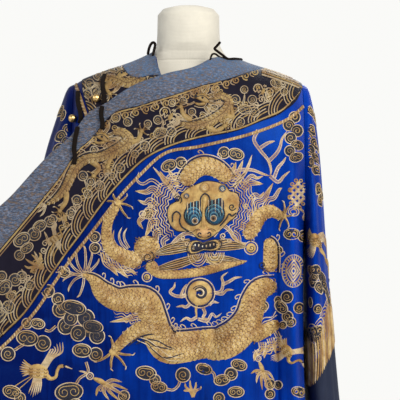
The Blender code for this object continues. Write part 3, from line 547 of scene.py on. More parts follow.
class Stitching:
    """The strokes on one cloth, gathered as arrays in cloth coordinates with a height, a shade
    and a thread coordinate for each point, and made one mesh at the end. tone darkens all
    shades of a piece whose thread is more worn."""

    def __init__(self, name, cloth, base=0.0, keep=None, tone=1.0):
        self.name = name
        self.tone = tone
        self.cloth = cloth
        self.base = base
        self.keep = keep
        self.flat, self.heights, self.shades, self.threads, self.faces = [], [], [], [], []
        self.count = 0

    def add(self, flat, heights, shades, threads, faces):
        """Adds one stroke's points and faces."""
        self.flat.append(flat)
        self.heights.append(heights)
        self.shades.append(np.broadcast_to(shades, (len(flat), 3)))
        self.threads.append(threads)
        self.faces.append(faces + self.count)
        self.count += len(flat)

    def inside(self, flat):
        """Which points lie on the cloth, a little in from its edges."""
        stops, low, high = self.cloth.edges
        a, b = flat[:, 0], flat[:, 1]
        margin = 0.0025
        kept = (a > np.interp(b, stops, low) + margin) & (a < np.interp(b, stops, high) - margin)
        kept &= (b > stops[0] + 0.008) & (b < stops[-1] - margin)
        if self.keep:
            kept &= self.keep(flat)
        return kept

    def made(self, look):
        """The mesh object: faces whose points are all on the cloth, lifted by their height."""
        flat = np.concatenate(self.flat)
        faces = np.concatenate(self.faces)
        faces = faces[self.inside(flat)[faces].all(1)]
        used = np.unique(faces)
        renumbered = np.zeros(len(flat), int)
        renumbered[used] = np.arange(len(used))
        heights = np.concatenate(self.heights)[used] + self.base
        points = self.cloth.at(flat[used, 0], flat[used, 1], heights)
        faces = renumbered[faces]
        corner = points[faces]
        facing = np.cross(corner[:, 2] - corner[:, 0], corner[:, 3] - corner[:, 1])
        normals = self.cloth.read(self.cloth.normals, *flat[used].T)[faces[:, 0]]
        wrong = (facing * normals).sum(1) < 0
        faces[wrong] = faces[wrong, ::-1]
        item = mesh_object(self.name, points, faces, look)
        shades = np.concatenate(self.shades)[used] * self.tone
        layer = item.data.color_attributes.new("shade", "FLOAT_COLOR", "POINT")
        colours = np.concatenate([shades, np.ones((len(shades), 1))], 1)
        layer.data.foreach_set("color", colours.astype(np.float32).ravel())
        threads = np.concatenate(self.threads)[used]
        item.data.uv_layers[0].uv.foreach_set("vector", threads[faces.ravel()].astype(np.float32).ravel())
        return item


class Pen:
    """Draws strokes in stitch units: x to the right and y down, at a place, a turn, a scale
    and a flip on its stitching's cloth."""

    def __init__(self, stitching, place=(0.0, 0.0), onto=None):
        self.stitching = stitching
        self.place = np.asarray(place, float)
        self.scale = 1.0
        self.matrix = np.eye(2)
        self.onto = onto

    def at(self, place, turn=0.0, scale=1.0, flip=1.0):
        """A pen for a motif at a place of this pen's own drawing."""
        made = Pen(self.stitching, self.matrix @ np.asarray(place, float) + self.place, self.onto)
        cosine, sine = math.cos(turn), math.sin(turn)
        made.matrix = self.matrix @ np.array(((cosine * flip, -sine), (sine * flip, cosine))) * scale
        made.scale = self.scale * scale
        return made

    def lay(self, points):
        """Cloth coordinates of points of the drawing."""
        return self.onto(points @ self.matrix.T + self.place)

    def line(self, points, width=1.2, height=0.0009, shade=GOLD, taper=(1.0, 1.0), steps=4):
        """A raised line through the points: a ribbon with a ridge along its middle, whose edges
        are a millimetre lower. taper is the share of its width that is left at its two ends."""
        path = eased(points, steps) if steps > 1 else np.asarray(points, float)
        if len(path) < 2:
            return
        side = beside(path)
        share = np.linspace(0, 1, len(path))
        widths = np.minimum(1, taper[0] + share * 5) * np.minimum(1, taper[1] + (1 - share) * 5)
        half = widths[:, None] * width / 2 / self.scale
        n = len(path)
        flat = np.concatenate([path - side * half, path, path + side * half])
        heights = np.repeat((height - 0.0010, height, height - 0.0010), n)
        threads = np.stack([np.tile(run_of(path) * UNIT, 3),
                            np.repeat(np.array((-0.5, 0.0, 0.5)) * width * UNIT, n)], 1)
        self.stitching.add(self.lay(flat), heights, shade, threads, grid_faces(3, n))

    def band(self, centre, halves, height=0.0022, shade=GOLD, steps=5, rows=6, rounded=True):
        """A padded band along a centre line whose half widths are given at its points. Its
        section is half an oval and its ends are round. Returns its line, sides and half widths."""
        path = eased(np.column_stack([centre, halves]), steps)
        path, half = path[:, :2], np.maximum(path[:, 2], 0.05)
        side = beside(path)
        run = run_of(path)
        full = half.copy()
        if rounded:
            for reach, end in ((run, half[0]), (run[-1] - run, half[-1])):
                near = np.clip(1 - reach / max(end, 0.1), 0, 1)
                half = half * np.sqrt(1 - near ** 2 * 0.96)
        across_share = np.sin(np.linspace(-1, 1, rows + 1) * math.pi / 2)[:, None]
        flat = path[None] + side[None] * (half * across_share)[..., None]
        rise = height * np.minimum(1, half / 1.6)
        heights = rise * np.sqrt(np.maximum(0, 1 - across_share ** 2)) - 0.0004 * (np.abs(across_share) > 0.99)
        threads = np.stack([np.broadcast_to(run, heights.shape), half * across_share], -1) * UNIT
        self.stitching.add(self.lay(flat.reshape(-1, 2)), heights.ravel(), shade,
                           threads.reshape(-1, 2), grid_faces(rows + 1, len(path)))
        return path, side, full

    def blob(self, outline, height=0.0015, shade=GOLD, steps=4):
        """A padded patch inside a closed outline that its centre can see all of."""
        ring = eased(list(outline) + [outline[0]], steps)[:-1]
        centre = ring.mean(0)
        shares = np.array((1.0, 0.92, 0.6, 0.02))[:, None]
        rises = np.repeat((-0.0004, height * 0.7, height, height * 1.1), len(ring))
        flat = centre + (ring - centre)[None] * shares[..., None]
        threads = (flat - centre).reshape(-1, 2) * UNIT
        self.stitching.add(self.lay(flat.reshape(-1, 2)), rises, shade, threads,
                           grid_faces(4, len(ring), closed=True))


def ellipse(cx, cy, a, b, start=0.0, end=2 * math.pi, steps=24, turn=0.0):
    """Points of an oval's arc."""
    angles = np.linspace(start, end, steps + 1)
    x, y = a * np.cos(angles), b * np.sin(angles)
    cosine, sine = math.cos(turn), math.sin(turn)
    return np.stack([cx + x * cosine - y * sine, cy + x * sine + y * cosine], 1)


def spiral(cx, cy, start_radius, end_radius, start_angle, turns, steps=26):
    """Points of a spiral, whose radius falls evenly with the angle."""
    share = np.linspace(0, 1, steps + 1)
    angle = start_angle + turns * 2 * math.pi * share
    radius = start_radius + (end_radius - start_radius) * share
    return np.stack([cx + radius * np.cos(angle), cy + radius * np.sin(angle)], 1)


def uncovered(points, covers):
    """The runs of a line's points that no later lobe covers."""
    hidden = np.zeros(len(points), bool)
    for cx, cy, a, b, turn in covers:
        x, y = points[:, 0] - cx, points[:, 1] - cy
        cosine, sine = math.cos(turn), math.sin(turn)
        u, v = (x * cosine + y * sine) / a, (y * cosine - x * sine) / b
        hidden |= u * u + v * v < 1.0
    runs = np.split(np.arange(len(points)), np.flatnonzero(np.diff(hidden.astype(int))) + 1)
    return [points[run] for run in runs if not hidden[run[0]] and len(run) > 2]


def cloud(pen, lobes, width=1.5):
    """A cloud of curls. Each lobe is a ring with a spiral in it, or a wide head with two facing
    spirals, on a dark patch that is painted shade between its raised lines, and a later lobe
    covers the ones before it. A lobe is x, y, half width, half height, turn and which way it curls."""
    for n, (x, y, a, b, turn, way) in enumerate(lobes):
        # painted shade: a near-black patch under the lobe darkens the ground between its lines
        pen.blob(ellipse(x, y, a, b, turn=turn, steps=14)[:-1], 0.0005 + 0.00004 * n, INK, steps=1)
        covers = [(*other[:4], other[4]) for other in lobes[n + 1:]]
        lines = [(ellipse(x, y, a, b, turn=turn, steps=22), 1.15, PALE)]
        cosine, sine = math.cos(turn), math.sin(turn)
        if a > b * 1.25:
            apart = a - b * 0.98
            inner = b - 2.0
            left = spiral(-apart, 0, inner, 0.9, -math.pi / 2, -1.35 if way > 0 else 1.35, 17)
            right = left * (-1, 1)
            path = np.concatenate([left[::-1], right])
            path = np.stack([x + path[:, 0] * cosine - path[:, 1] * sine,
                             y + path[:, 0] * sine + path[:, 1] * cosine], 1)
            lines.append((path, width, GOLD))
        else:
            lines.append((spiral(x, y, b - 2.0, 0.8, turn, 1.45 * way, 19), width, GOLD))
        for points, thick, shade in lines:
            for run in uncovered(points, covers):
                pen.line(run, thick, shade=shade, steps=1)


CLOUD_BANK = (
    (-17, -5, 8, 8, 0.5, 1), (14, 12, 8.5, 8.5, 0.2, -1), (-10, 11, 8.5, 8, 2.0, 1),
    (3, 17, 8, 7.5, 1.5, 1), (-6, 3, 7, 7, 1.0, -1), (9, 1, 8.5, 8.5, 2.8, 1),
    (-4, -8, 12.5, 7, 0.15, 1), (22, 18, 7.5, 7.5, 0.4, 1), (17, 9, 10, 6.2, 0.1, 1),
)
CLOUD_PAIR = ((9, 2.5, 6.8, 6.8, 0.3, 1), (-5, 0, 9.5, 6.6, 0.0, 1))
CLOUD_HEAD = ((0, 0, 8.5, 5.6, 0.0, 1),)
CLOUD_CHAIN = (
    (-8, 12, 5.6, 5.6, 2.0, 1), (-18, -8, 9, 6.6, 0.15, 1), (-8, 3, 6.6, 6.6, 0.5, -1),
    (-3, 12, 8, 5.6, 0.1, 1), (22, -14, 6, 6, 2.2, 1),
)
CLOUD_CURL = ((0, 0, 6, 6, 0.6, 1),)
CLOUD_TALL = (
    (2, -26, 7, 7, 2.4, 1), (-5, -16, 7.5, 7, 0.6, -1), (5, -9, 7.5, 7.5, 2.0, 1), (-3, 0, 7, 7, 0.4, 1),
    (5, 9, 8, 6, 0.3, 1), (-4, 16, 6.5, 6.5, 1.4, -1), (4, 24, 8.5, 6, -0.3, 1),
)


def tongue(pen, points, width=4.4, shade=PALE):
    """A flame's tongue: two pale lines that meet at its tip, over a rose core."""
    pen.line(points, 1.2, 0.0005, ROSE, (1.0, 0.1), steps=4)
    lock(pen, points, width, 2, shade, 1.05)


def wavy(start, end, waves=2.5, size=1.8, phase=0.0, steps=14):
    """A line between two points that sways from side to side, less so at its start."""
    start, end = np.asarray(start, float), np.asarray(end, float)
    share = np.linspace(0, 1, steps + 1)[:, None]
    forward = (end - start) / np.linalg.norm(end - start)
    side = np.array((forward[1], -forward[0]))
    sway = np.sin(share * waves * 2 * math.pi + phase) * size * np.minimum(1, share * 3 + 0.2)
    return start + (end - start) * share + side * sway


def hair(pen, roots, tips, count, waves=2.2, size=1.9, shades=(PALE, GOLD), width=0.85):
    """Strands of a mane between a line of roots and a line of tips, side by side."""
    roots, tips = eased(roots, 8), eased(tips, 8)
    for n in range(count):
        share = n / max(1, count - 1)
        root = roots[round(share * (len(roots) - 1))]
        tip = tips[round(share * (len(tips) - 1))]
        pen.line(wavy(root, tip, waves, size, phase=share * 2.4), width, shade=shades[n % 2],
                 taper=(0.8, 0.15), steps=2)


def scaly(pen, centre, halves, scale_size=3.5, spine=0, ribs=0, height=0.0024):
    """A dragon's body: a padded gold band with rows of scale arcs. spine is the side that has
    a pale outline with small hooks, and ribs the side that has belly ribs."""
    path, side, half = pen.band(centre, halves, height, GOLD)
    run = run_of(path)
    ahead = np.stack([-side[:, 1], side[:, 0]], 1)
    rows = max(1, int(run[-1] / (scale_size * 0.72)))
    for row in range(rows):
        at = (row + 0.5) / rows * run[-1]
        middle, out, forward = read_at(at, run, path, side, ahead)
        reach = float(np.interp(at, run, half))
        count = int(reach * 2 / scale_size) + row % 2
        for n in range(count):
            offset = (n - (count - 1) / 2) * scale_size
            share = offset / reach
            if abs(share) > 0.86 or (ribs and share * ribs > 0.1):
                continue
            rise = height * min(1, reach / 1.6) * math.sqrt(1 - share * share)
            angles = np.linspace(-1.4, 1.4, 6)[:, None]
            curve = (middle + out * offset + out * np.sin(angles) * scale_size * 0.5
                     + forward * (np.cos(angles) - 0.6) * scale_size * 0.6)
            pen.line(curve, 0.85, rise + 0.0007, (BROWN, TAN, PALE, TAN)[(row * 2 + n) % 4], steps=1)
    if ribs:
        for at in np.arange(1.5, run[-1] - 1.0, 2.6):
            middle, out, forward = read_at(at, run, path, side, ahead)
            reach = float(np.interp(at, run, half))
            rib = [middle + out * reach * ribs * s - forward * s * 1.2 for s in (0.05, 0.5, 0.95)]
            pen.line(rib, 0.8, height * min(1, reach / 1.6) * 0.9, BROWN, steps=2)
    if spine:
        edge = path + side * ((half + 0.5) * spine)[:, None]
        pen.line(edge, 1.2, 0.0012, INK, steps=1)
        pen.line(path + side * ((half + 2.1) * spine)[:, None], 1.0, 0.0010, PALE, steps=1)
        for at in np.arange(5.0, run[-1] - 3.0, 11.5):
            middle, out, forward = read_at(at, run, path, side * spine, ahead)
            root = middle + out * (np.interp(at, run, half) + 2.1)
            hook = (root + forward * 2.4, root + out * 2.4 + forward * 1.6, root + out * 4.6 - forward * 1.0,
                    root + out * 3.4 - forward * 3.0, root + out * 1.6 - forward * 1.6)
            pen.line(hook, 1.0, 0.0010, PALE, (1, 0.5), steps=3)
    return path, side, half


def claw(pen, wrist, toes, size=7.0):
    """A dragon's foot: a padded palm and toes that run from it to the given points, each with
    a hooked nail."""
    wrist = np.asarray(wrist, float)
    pen.blob(ellipse(*wrist, size * 0.48, size * 0.48, steps=8)[:-1], 0.0022, GOLD, steps=2)
    for n, tip in enumerate(toes):
        tip = np.asarray(tip, float)
        ahead = (tip - wrist) / np.linalg.norm(tip - wrist)
        beyond = np.array((ahead[1], -ahead[0])) * (1 if n % 2 else -1)
        knuckle = wrist + (tip - wrist) * 0.55 + beyond * size * 0.10
        pen.band(np.array((wrist + ahead * size * 0.2, knuckle, tip - ahead * size * 0.1)),
                 (size * 0.20, size * 0.15, size * 0.13), 0.0020, GOLD, steps=4, rows=4)
        pen.line((tip - ahead * size * 0.3, tip, tip + ahead * size * 0.22 - beyond * size * 0.30),
                 1.1, 0.0013, PALE, (1, 0.2))
        pen.line((wrist + ahead * size * 0.45, knuckle, tip - ahead), 0.6, 0.0024, BROWN, steps=2)


def curled(pen, x, y, radius, way=1, turn=0.0, shade=INK, height=0.0034, turns=1.3):
    """A spiral drawn over padding, as on a shoulder or a cheek."""
    pen.line(spiral(x, y, radius, radius * 0.15, turn, turns * way, steps=22), 1.0, height, shade, steps=1)


def fins(pen, roots, tips, count=4):
    """Fine strands that fan out between two roots and two tips."""
    roots, tips = np.asarray(roots, float), np.asarray(tips, float)
    for n in range(count):
        share = n / max(1, count - 1)
        pen.line(wavy(roots[0] + (roots[1] - roots[0]) * share, tips[0] + (tips[1] - tips[0]) * share,
                      1.2, 1.4, n * 0.5), 1.0, shade=PALE if n % 2 else GOLD, taper=(1, 0.2), steps=2)


def pearl(pen, x, y, radius=13.5):
    """The flaming pearl: a padded disc with a dark comma, a pale rim and flames round it."""
    pen.band(ellipse(x, y, radius * 0.62, radius * 0.62, steps=20), np.full(21, radius * 0.34),
             0.0022, GOLD, steps=2, rows=5, rounded=False)
    pen.line(ellipse(x, y, radius + 0.2, radius + 0.2, steps=36), 1.2, 0.0012, INK, steps=1)
    pen.line(ellipse(x, y, radius + 1.8, radius + 1.8, steps=36), 1.1, 0.0010, PALE, steps=1)
    for reach, shade in ((0.62, INK), (0.48, INK), (0.34, PALE), (0.20, INK)):
        pen.line(spiral(x, y, radius * reach, radius * reach * 0.5, -2.6, 0.85), 1.9, 0.0026, shade, steps=1)
    lock(pen, ((x + 1, y + 2), (x - 2, y + 8), (x - 4, y + 16), (x - 3, y + 26)), 3.6, 2, GOLD, 1.2)
    for flame in (((x - 14, y + 1), (x - 19, y + 4), (x - 17, y - 3), (x - 13.5, y - 9)),
                  ((x - 14, y + 3), (x - 24, y + 3), (x - 30, y - 1), (x - 26, y - 6), (x - 25, y - 11)),
                  ((x + 14, y), (x + 21, y - 2), (x + 23, y - 10), (x + 22, y - 16), (x + 28, y - 21)),
                  ((x + 22, y - 8), (x + 30, y - 12), (x + 35, y - 15), (x + 42, y - 16)),
                  ((x + 15, y), (x + 22, y + 1), (x + 27, y - 3), (x + 34, y - 3)),
                  ((x - 10, y + 11), (x - 14, y + 14), (x - 18, y + 13), (x - 24, y + 14)),
                  ((x + 9, y + 12), (x + 13, y + 9), (x + 19, y + 10)),
                  ((x - 3, y + 24), (x - 9, y + 27), (x - 14, y + 25), (x - 20, y + 29)),
                  ((x + 3, y + 15), (x + 5, y + 20), (x + 3, y + 25), (x + 9, y + 26)),
                  ((x - 2, y + 26), (x + 7, y + 28), (x + 12, y + 21), (x + 16, y + 24), (x + 22, y + 20))):
        tongue(pen, flame, 4.4)


def dragon_face(pen):
    """The large dragon's face: brow plate, rays, eyes, nose, cheeks, mouth, whiskers and beard,
    in the picture's own units."""
    dragon_hair(pen)
    for root, tip, width, bow, strands in (
            ((194, 246), (152, 255), 12, -2, 6), ((199, 257), (152, 270), 10, 1, 5),
            ((216, 248), (247, 247), 10, 2, 5), ((206, 260), (243, 262), 9, 1, 5),
            ((190, 241), (170, 247), 8, 0, 4), ((216, 243), (232, 240), 6, 0, 3)):
        leaf(pen, root, tip, width, bow, strands)
    for n in range(5):
        for x, y in ((197.5, 253.5), (214.5, 252.5)):
            pen.line(ellipse(x, y, 1.8 + 1.9 * n, 2.6 + 2.5 * n, 0.0, math.pi, 14), 1.0, 0.0024,
                     (PALE, GOLD)[n % 2], steps=1)
    face = ((181, 194), (188, 188), (196, 184.5), (206, 181), (217, 182), (226, 186), (230, 191),
            (238, 194), (239.5, 205), (236, 216), (229, 222), (222, 229), (213, 236), (205, 240),
            (197, 238), (190, 232), (177, 231), (169.5, 224), (167, 214), (169, 206), (175, 202), (179, 199))
    pen.blob(face, 0.0020, GOLD)
    pen.line((*face, face[0]), 0.9, 0.0012, INK)
    for x, y, radius, shade in ((186.5, 196, 2.7, TEAL), (204.6, 187.5, 4.6, GOLD), (222.3, 188.5, 3.6, TEAL)):
        pen.blob(ellipse(x, y, radius, radius, steps=10)[:-1], 0.0036, shade, steps=2)
        pen.line(ellipse(x, y, radius, radius, steps=18), 0.9, 0.0034, TAN, steps=1)
        curled(pen, x, y, radius * 0.55, 1, 0.4, PALE, 0.0046)
    for x, y, a, b, pupil in ((193.0, 215.5, 8.8, 10.0, (195.0, 221.0)), (214.6, 213.8, 9.8, 11.0, (213.4, 218.4))):
        top = y - b * 0.8
        pen.blob(((x - a * 0.85, top - 4), (x + a * 0.9, top - 8), (x + a * 0.95, y), (x - a * 0.9, y)), 0.0026, INK)
        for n in range(5):
            ray = x - a * 0.62 + n * a * 0.34
            pen.line(((ray, top - 5 - n * 0.5), (ray, y - 1)), 1.0, 0.0040, MIST if n % 2 else PALE, steps=1)
        pen.blob(ellipse(x, y, a, b, steps=12)[:-1], 0.0034, TEAL, steps=2)
        pen.line(ellipse(x, y, a, b, steps=24), 1.2, 0.0036, INK, steps=1)
        for ring in range(6):
            share = 0.88 - 0.125 * ring
            cx, cy = np.array((x, y)) * share + np.array(pupil) * (1 - share)
            pen.line(ellipse(cx, cy, a * share, b * share, -math.pi * 1.08, 0.10, steps=16), 0.72, 0.0046,
                     (MIST, INK)[ring % 2], steps=1)
        pen.blob(ellipse(*pupil, 2.9, 2.9, steps=8)[:-1], 0.0050, TAN, steps=2)
        pen.line(ellipse(*pupil, 3.0, 3.0, steps=12), 0.6, 0.0054, IVORY, steps=1)
        pen.blob(ellipse(*pupil, 2.0, 2.0, steps=8)[:-1], 0.0060, INK, steps=2)
    pen.band(((204.8, 196.5), (204.6, 201), (203.6, 208), (203.4, 216), (203.6, 226), (204, 233)),
             (3.0, 2.6, 1.6, 1.8, 3.6, 7.5), 0.0050, GOLD)
    pen.line(((200.4, 206), (200.8, 198), (204.8, 193.6), (209.4, 197.5), (209.8, 205)), 1.3, 0.0048, INK)
    pen.band(((196, 234), (203.8, 232), (212, 233)), (4.2, 6.4, 4.2), 0.0054, (0.520, 0.300, 0.110))
    pen.line(((192.5, 232), (196.5, 229.5), (200, 230)), 1.1, 0.0062, BROWN)
    pen.line(((208, 229.5), (212, 229), (215.5, 231)), 1.1, 0.0062, BROWN)
    for x, y, way in ((199.8, 234.4, 1), (208.8, 234.0, -1)):
        pen.line(spiral(x, y, 2.8, 0.8, math.pi / 2 - way * 0.6, 0.85 * way, 12), 1.3, 0.0064, INK, steps=1)
    pen.line(((172.5, 222), (172.8, 215), (176.6, 211.6), (180.4, 215), (179.6, 221), (182, 227), (189, 231.5)),
             1.5, 0.0034, INK)
    pen.line(((236, 213), (232, 216), (229, 214), (226, 219), (220, 226)), 1.5, 0.0034, INK)
    curled(pen, 232, 207, 3.8, 1, 0.3)
    curled(pen, 178, 199.5, 4.2, -1, 1.0)
    for whisker in (((196, 235), (187, 233), (178, 238), (171, 245), (162, 251), (151, 252)),
                    ((213, 236), (222, 226), (230, 231), (234, 238), (241, 243), (248, 243))):
        lock(pen, whisker, 5.0, 3, thick=1.1)
    for x, y, radius, way in ((223, 236, 3.4, 1), (187, 244, 2.6, -1), (183, 238, 2.4, 1), (229, 241, 2.4, -1)):
        pen.line(spiral(x, y, radius, 0.7, 1.0, 1.4 * way, 16), 1.1, 0.0030, PALE, steps=1)
    lip = ((190.5, 245), (193, 242), (198, 241.4), (203, 243.2), (209, 241.4), (215, 240.6), (218.4, 243.4),
           (216.6, 248.4), (210, 250), (203.5, 249.4), (198, 251.8), (191.6, 252.6), (189.6, 249), (190.5, 245))
    pen.blob(lip[:-1], 0.0016, INK)
    pen.band(lip, np.full(14, 1.15), 0.0038, GOLD, rows=4, rounded=False)
    middle = np.mean(lip[:-1], 0)
    for swell in (1.20, 0.84):
        pen.line([middle + (np.array(point) - middle) * swell for point in lip], 0.9, 0.0034, INK)
    for x, top, foot, shade in ((195.2, 243.6, 246.6, IVORY), (198.8, 243.6, 247.4, PALE), (202.6, 245.0, 247.8, IVORY),
                                (206.4, 244.4, 247.8, PALE), (210.2, 243.2, 247.2, IVORY), (213.8, 242.8, 246.0, PALE)):
        pen.band(((x, top), (x - 0.3, foot)), (1.15, 0.9), 0.0036, shade, rows=3)


def frontal_dragon(pen):
    """The large dragon of the front and of the back, its body in a coil round the head, in the
    picture's own units."""
    scaly(pen, ((184, 185), (190, 175), (197, 168.5), (205, 166), (214, 168), (222, 173), (229, 181)),
          (8, 9, 9.5, 9.5, 9, 8, 7), spine=1)
    scaly(pen, ((82, 274), (93, 280), (103, 292), (117, 300), (133, 300), (146, 303), (153, 317),
                (157, 333), (167, 347), (184, 347), (204, 344), (221, 344), (238, 334), (249, 318),
                (254, 300), (261, 289), (276, 285)),
          (1, 5.0, 10, 11.5, 13, 14, 13, 15, 16.5, 16, 15, 17, 16.5, 14, 12, 10.5, 8.5), spine=1)
    scaly(pen, ((266, 239), (270, 246), (270.5, 258), (270, 272)), (4, 7, 7.5, 7.5), spine=1)
    scaly(pen, ((148, 262), (158, 273), (172, 274.5), (188, 273.5), (204, 271), (222, 266), (247, 261)),
          (8, 5, 4.5, 4.5, 4.5, 4.5, 1.5), ribs=-1, height=0.0022)
    scaly(pen, ((118, 205), (109, 219), (106.5, 233), (110, 247), (124, 257), (142, 262)),
          (3.5, 5.0, 5.5, 7.0, 8, 9))
    scaly(pen, ((146, 236), (147, 248), (149, 260)), (12, 13.5, 12))
    claw(pen, (118, 203), ((127, 196), (132, 207), (128, 218), (112, 192), (106, 201)), 7.5)
    scaly(pen, ((246, 239), (254, 227), (261, 215), (270, 211), (279, 215), (284, 218)),
          (6, 7, 7, 6.5, 5, 3.5))
    claw(pen, (284, 216), ((284, 202), (290, 205), (279, 229), (289, 226), (293, 215)), 6.5)
    scaly(pen, ((154, 326), (142, 328), (131, 334), (121, 343), (114, 351)), (8, 7.5, 6.5, 5.5, 4.5))
    claw(pen, (113, 352), ((111, 337), (96, 362), (111, 369), (126, 367), (133, 355)), 8.5)
    scaly(pen, ((250, 338), (260, 333), (270, 328), (279, 322)), (8, 7.5, 6.5, 5))
    knot(pen, 251, 248, 5.0, -1, 2.6)
    curled(pen, 148.3, 257.5, 6.5, 1, -1.2, turns=1.5)
    knot(pen, 147, 277, 3.2, 1, 0.8)
    curled(pen, 262, 265, 4.0, 1, 0.8)
    knot(pen, 262, 308, 3.4, 1, -1.0)
    for points, width, strands in (
            (((104, 252), (106, 262), (112, 268), (118, 276)), 9, 4),
            (((112, 258), (115, 266), (121, 271), (128, 278)), 8.5, 4),
            (((120, 263), (124, 268), (130, 270), (137, 275)), 6.5, 3),
            (((150, 316), (140, 308), (131, 309), (124, 305)), 9, 4),
            (((152, 321), (140, 316), (128, 319), (110, 322)), 9, 4),
            (((262, 342), (262, 350), (256, 354), (254, 361)), 8.5, 4),
            (((270, 338), (272, 346), (266, 350), (264, 358)), 8.5, 4),
            (((276, 332), (279, 340), (274, 346), (276, 354)), 6.5, 3)):
        lock(pen, points, width, strands, thick=1.0)
    for tip, way in (((68, 270), 1), ((70, 261), 1), ((77, 253), 1), ((84, 249), -1), ((91, 255), -1), ((97, 262), -1),
                     ((66, 279), -1), ((70, 288), -1), ((79, 294), 1)):
        tip = np.array(tip)
        ahead = (tip - (83, 274)) / np.linalg.norm(tip - (83, 274))
        side = np.array((ahead[1], -ahead[0])) * way
        middle = (tip + (83, 274)) / 2
        lock(pen, ((84, 275), middle + side * 2.2, tip + side * 1.0, tip + ahead * 4 - side * 1.5), 3.4, 2, thick=0.9)
    nest(pen, ((151, 322), (143, 313), (133, 308), (122, 306), (111, 302)), 5, 3.0, 1.3, 9, cut=0.05, first_gap=0.8)
    nest(pen, ((281, 334), (272, 339), (262, 345), (252, 352)), 4, 3.0, 1.2, 9, cut=0.05, first_gap=0.6)
    nest(pen, ((138, 271), (128, 268), (116, 262), (107, 254), (102, 246)), 3, 2.8, 1.0, 8, cut=0.05, first_gap=0.4)
    for fin in (((127, 250), (121, 243), (119, 235), (122, 227)), ((129, 248), (125, 241), (124, 234), (127, 228)),
                ((125, 252), (117, 246), (113, 238), (114, 230))):
        lock(pen, fin, 3.4, 2, thick=0.9)
    for line in (((139, 337), (150, 341), (160, 349), (170, 356), (184, 358)),
                 ((137, 340), (148, 345), (158, 353), (168, 360), (183, 361))):
        pen.line(line, 1.0, 0.0034, PALE, (0.6, 0.3))
    for wing in (((128, 346), (137, 339), (146, 335), (155, 334)), ((136, 344), (146, 340), (156, 346), (174, 350)),
                 ((147, 343), (156, 352), (166, 358), (184, 353)), ((148, 339), (158, 341), (167, 346), (175, 349))):
        pen.line(wing, 1.4, 0.0034, INK, (0.5, 0.2))
    pearl(pen, 200, 293, 13.0)
    dragon_face(pen)


def flame_branch(pen):
    """The branching flame beside the head, in the picture's own units."""
    for points in (((258, 130), (254, 140), (260, 150), (268, 160), (271, 170), (270, 176)),
                   ((260, 148), (268, 143), (275, 141)),
                   ((268, 162), (276, 154), (280, 147), (282, 139), (287, 131)),
                   ((228, 174), (240, 170), (252, 170), (263, 174), (270, 176)),
                   ((270, 176), (278, 182), (284, 176), (290, 171)),
                   ((274, 178), (278, 168), (283, 162), (286, 157))):
        tongue(pen, points, 5.2)


def crane(pen):
    """A flying crane about its own breast: it looks to the right, with one wing up, one wing
    down, a fanned tail and legs drawn back."""
    for n in range(6):
        share = n / 5
        lock(pen, ((-1 + 8 * share, -3), (5 + 9 * share, -13 - 2 * share), (11 + 13 * share, -22 - 4 * abs(share - 0.8)),
                   (8 + 16 * share, -34 + 14 * (1 - share) ** 2)), 2.0, 2, thick=0.85)
        lock(pen, ((-6 + 7 * share, 5), (-8 + 10 * share, 15), (-12 + 13 * share, 30 - 9 * abs(share - 0.4))),
             2.0, 2, thick=0.85)
    for n in range(8):
        share = n / 7
        lock(pen, ((-6, 5 * share - 3), (-14, 11 * share - 7), (-24 + 9 * abs(share - 0.5), 19 * share - 12)), 2.4, 2,
             (GOLD, PALE)[n % 2], thick=1.0)
    pen.blob(((-15, 1), (-10, -6), (-2, -8), (6, -5), (10, 1), (7, 7), (-1, 9), (-9, 7)), 0.0022, GOLD)
    pen.band(((6, 3), (12, 8), (18, 6), (19.5, -1), (22, -6), (27, -7)), (3.4, 2.5, 1.9, 1.8, 2.0, 2.6), 0.0022,
             GOLD, rows=4)
    pen.band(((28, -7), (32, -5.6), (37, -4)), (1.4, 1.0, 0.4), 0.0022, PALE, rows=3)
    pen.blob(ellipse(27, -7.4, 0.9, 0.9, steps=6)[:-1], 0.0036, INK, steps=1)
    for row in range(3):
        for n in range(5):
            pen.line(ellipse(-10 + 4.2 * n, -3 + 3.6 * row, 1.9, 1.9, 0.2, math.pi - 0.2, steps=6), 0.7, 0.0032,
                     (BROWN, PALE)[n % 2], steps=1)
    for foot in (((-9, 6), (-20, 13), (-36, 25)), ((-8, 7), (-18, 17), (-32, 30))):
        pen.line(foot, 1.0, shade=GOLD)


def endless_knot(pen, wide=7.6, tall=13.5, pitch=7.0):
    """A knot of bands crossing to and fro inside an oval, with a loop at each turn, a ribbon
    loop below and a tail."""
    for way in (1, -1):
        for n, offset in enumerate(np.arange(-2.5, 3.0) * pitch):
            a = 1 / wide ** 2 + 1 / tall ** 2
            b = 2 * way * offset / tall ** 2
            c = offset ** 2 / tall ** 2 - 1
            root = math.sqrt(max(0.0, b * b - 4 * a * c))
            ends = np.array((-b - root, -b + root)) / (2 * a)
            line = np.stack([np.linspace(*ends, 5), way * np.linspace(*ends, 5) + offset], 1)
            if root > 0:
                pen.band(line, np.full(5, 1.40), 0.0013 + 0.0007 * ((n + way) % 2), PALE, steps=3, rows=4)
                for x, y in (line[0], line[-1]):
                    pen.line(ellipse(x * 1.04, y * 1.04, 1.5, 1.5, steps=10), 1.1, 0.0016, GOLD, steps=1)
    pen.line(ellipse(-3, tall + 4.5, 5.4, 4.2, steps=20), 1.2, shade=PALE, steps=1)
    pen.line(ellipse(-3, tall + 4.5, 3.2, 2.4, steps=16), 1.1, shade=GOLD, steps=1)
    tongue(pen, ((3, tall + 1), (8, tall + 5), (7, tall + 10), (10, tall + 16)), 2.2)


